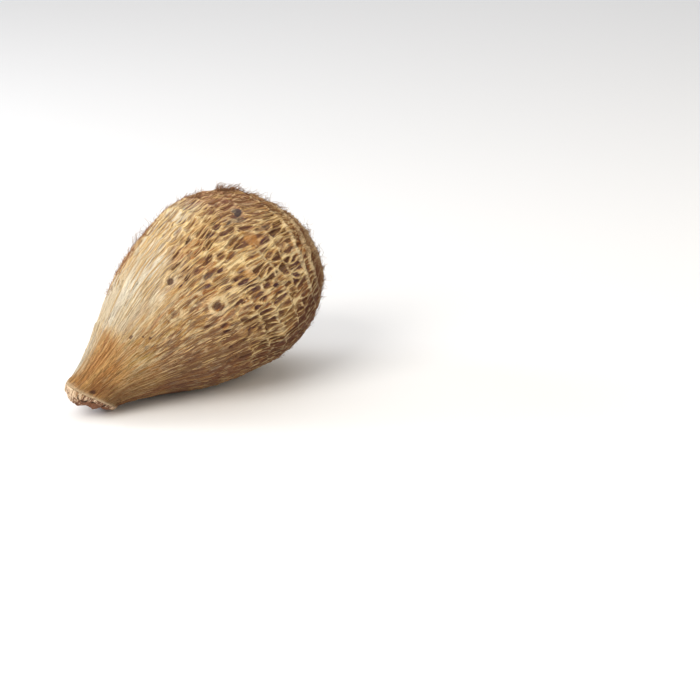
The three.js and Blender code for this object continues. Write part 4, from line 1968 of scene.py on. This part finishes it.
def main() -> None:
    """Builds the studio, the skin, the strands and the hairs in order."""
    logging.basicConfig(level=logging.INFO, format="%(name)s %(message)s")
    studio = Studio()
    skin = Skin()
    studio.camera(skin.form.start)
    studio.lights()
    studio.world()
    studio.floor()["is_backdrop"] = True

    skin_piece = skin.build()
    dress(skin_piece, CorkySkin().material(), Slot.SKIN)
    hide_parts(NODE)

    pale = DryFibre("dry fibre, pale", "#BA955F", "#DDC392").material()
    dark = DryFibre("dry fibre, dark", "#6A4428", "#A87A4C").material()
    rust = DryFibre("dry fibre, rusty", "#7A4A26", "#A8713C").material()
    tan = DryFibre("dry fibre, tan", "#8E6A44", "#D2B07E", "#8A6038").material()
    over, all_round, anywhere = (-45.0, 228.0), (0.0, 360.0), Growth.ANYWHERE
    growths = (
        (pale, Strands(
            skin, "pale_strands", count=520, share=(0.30, 0.92), degrees=(-40.0, 150.0), seed=77,
        )),
        (pale, Strands(
            skin, "low_strands", count=400, share=(0.30, 0.93), degrees=(150.0, 320.0), seed=80,
            reach=(0.015, 0.05),
        )),
        (pale, Strands(
            skin, "neck_strands", count=90, share=(0.02, 0.25), degrees=all_round, seed=78,
            radius=(0.08, 0.14),
        )),
        (dark, Strands(
            skin, "dark_strands", count=380, share=(0.66, 0.94), degrees=(20.0, 124.0), seed=79,
            radius=(0.1, 0.22),
        )),
        (rust, Strands(
            skin, "rust_strands", count=300, share=(0.34, 0.80), degrees=(24.0, 70.0), seed=81,
            radius=(0.08, 0.18), reach=(0.02, 0.08),
        )),
        (dark, Hairs(
            skin, "ring_hairs", Growth.RINGS, clumps=260, each=4, share=(0.4, 0.97), degrees=over,
            length=(1.2, 4.0), lift=(0.1, 0.6), seed=6, radius=0.11,
        )),
        (dark, Hairs(
            skin, "tufts", Growth.RINGS, clumps=20, each=12, share=(0.5, 0.93),
            degrees=(-20.0, 100.0), length=(2.5, 6.0), lift=(0.2, 0.9), seed=7, radius=0.11,
        )),
        (tan, Hairs(
            skin, "tip_hairs", anywhere, clumps=170, each=9, share=(0.87, 0.995),
            degrees=all_round, length=(2.0, 6.0), lift=(0.1, 0.6), seed=8, radius=0.13,
        )),
        (dark, Hairs(
            skin, "dark_tip_hairs", anywhere, clumps=110, each=8, share=(0.86, 0.99),
            degrees=all_round, length=(2.0, 6.0), lift=(0.1, 0.7), seed=14, radius=0.13,
        )),
        (dark, Hairs(
            skin, "fuzz", anywhere, clumps=420, each=2, share=(0.12, 0.95), degrees=over,
            length=(0.8, 2.4), lift=(0.2, 1.0), seed=9, radius=0.09,
        )),
        (rust, Hairs(
            skin, "edge_fuzz", anywhere, clumps=240, each=4, share=(0.28, 0.80),
            degrees=(34.0, 68.0), length=(1.5, 4.6), lift=(0.25, 1.0), seed=10, radius=0.14,
        )),
        (dark, Hairs(
            skin, "crest", anywhere, clumps=8, each=16, share=(0.80, 0.88), degrees=(70.0, 86.0),
            length=(3.5, 7.5), lift=(0.2, 0.9), seed=11, radius=0.22,
        )),
        (dark, Hairs(
            skin, "wisps", anywhere, clumps=4, each=5, share=(0.46, 0.58), degrees=(46.0, 56.0),
            length=(5.0, 9.0), lift=(0.5, 1.2), seed=12, radius=0.13,
        )),
        (dark, Hairs(
            skin, "low_fringe", anywhere, clumps=34, each=6, share=(0.56, 0.86),
            degrees=(208.0, 242.0), length=(1.5, 4.2), lift=(0.2, 0.9), seed=15, radius=0.14,
        )),
        (dark, Hairs(
            skin, "side_wisps", anywhere, clumps=14, each=5, share=(0.88, 0.97),
            degrees=(90.0, 200.0), length=(4.0, 8.0), lift=(0.3, 1.0), seed=13, radius=0.13,
        )),
    )
    for finish, growth in growths:
        dress(growth.build(), finish, Slot.FIBRE)

    boxes = {"cad": CAD_BOX, "visual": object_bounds()}
    sizes = {name: [list(corner) for corner in box] for name, box in boxes.items()}


if __name__ == "__main__":
    main()
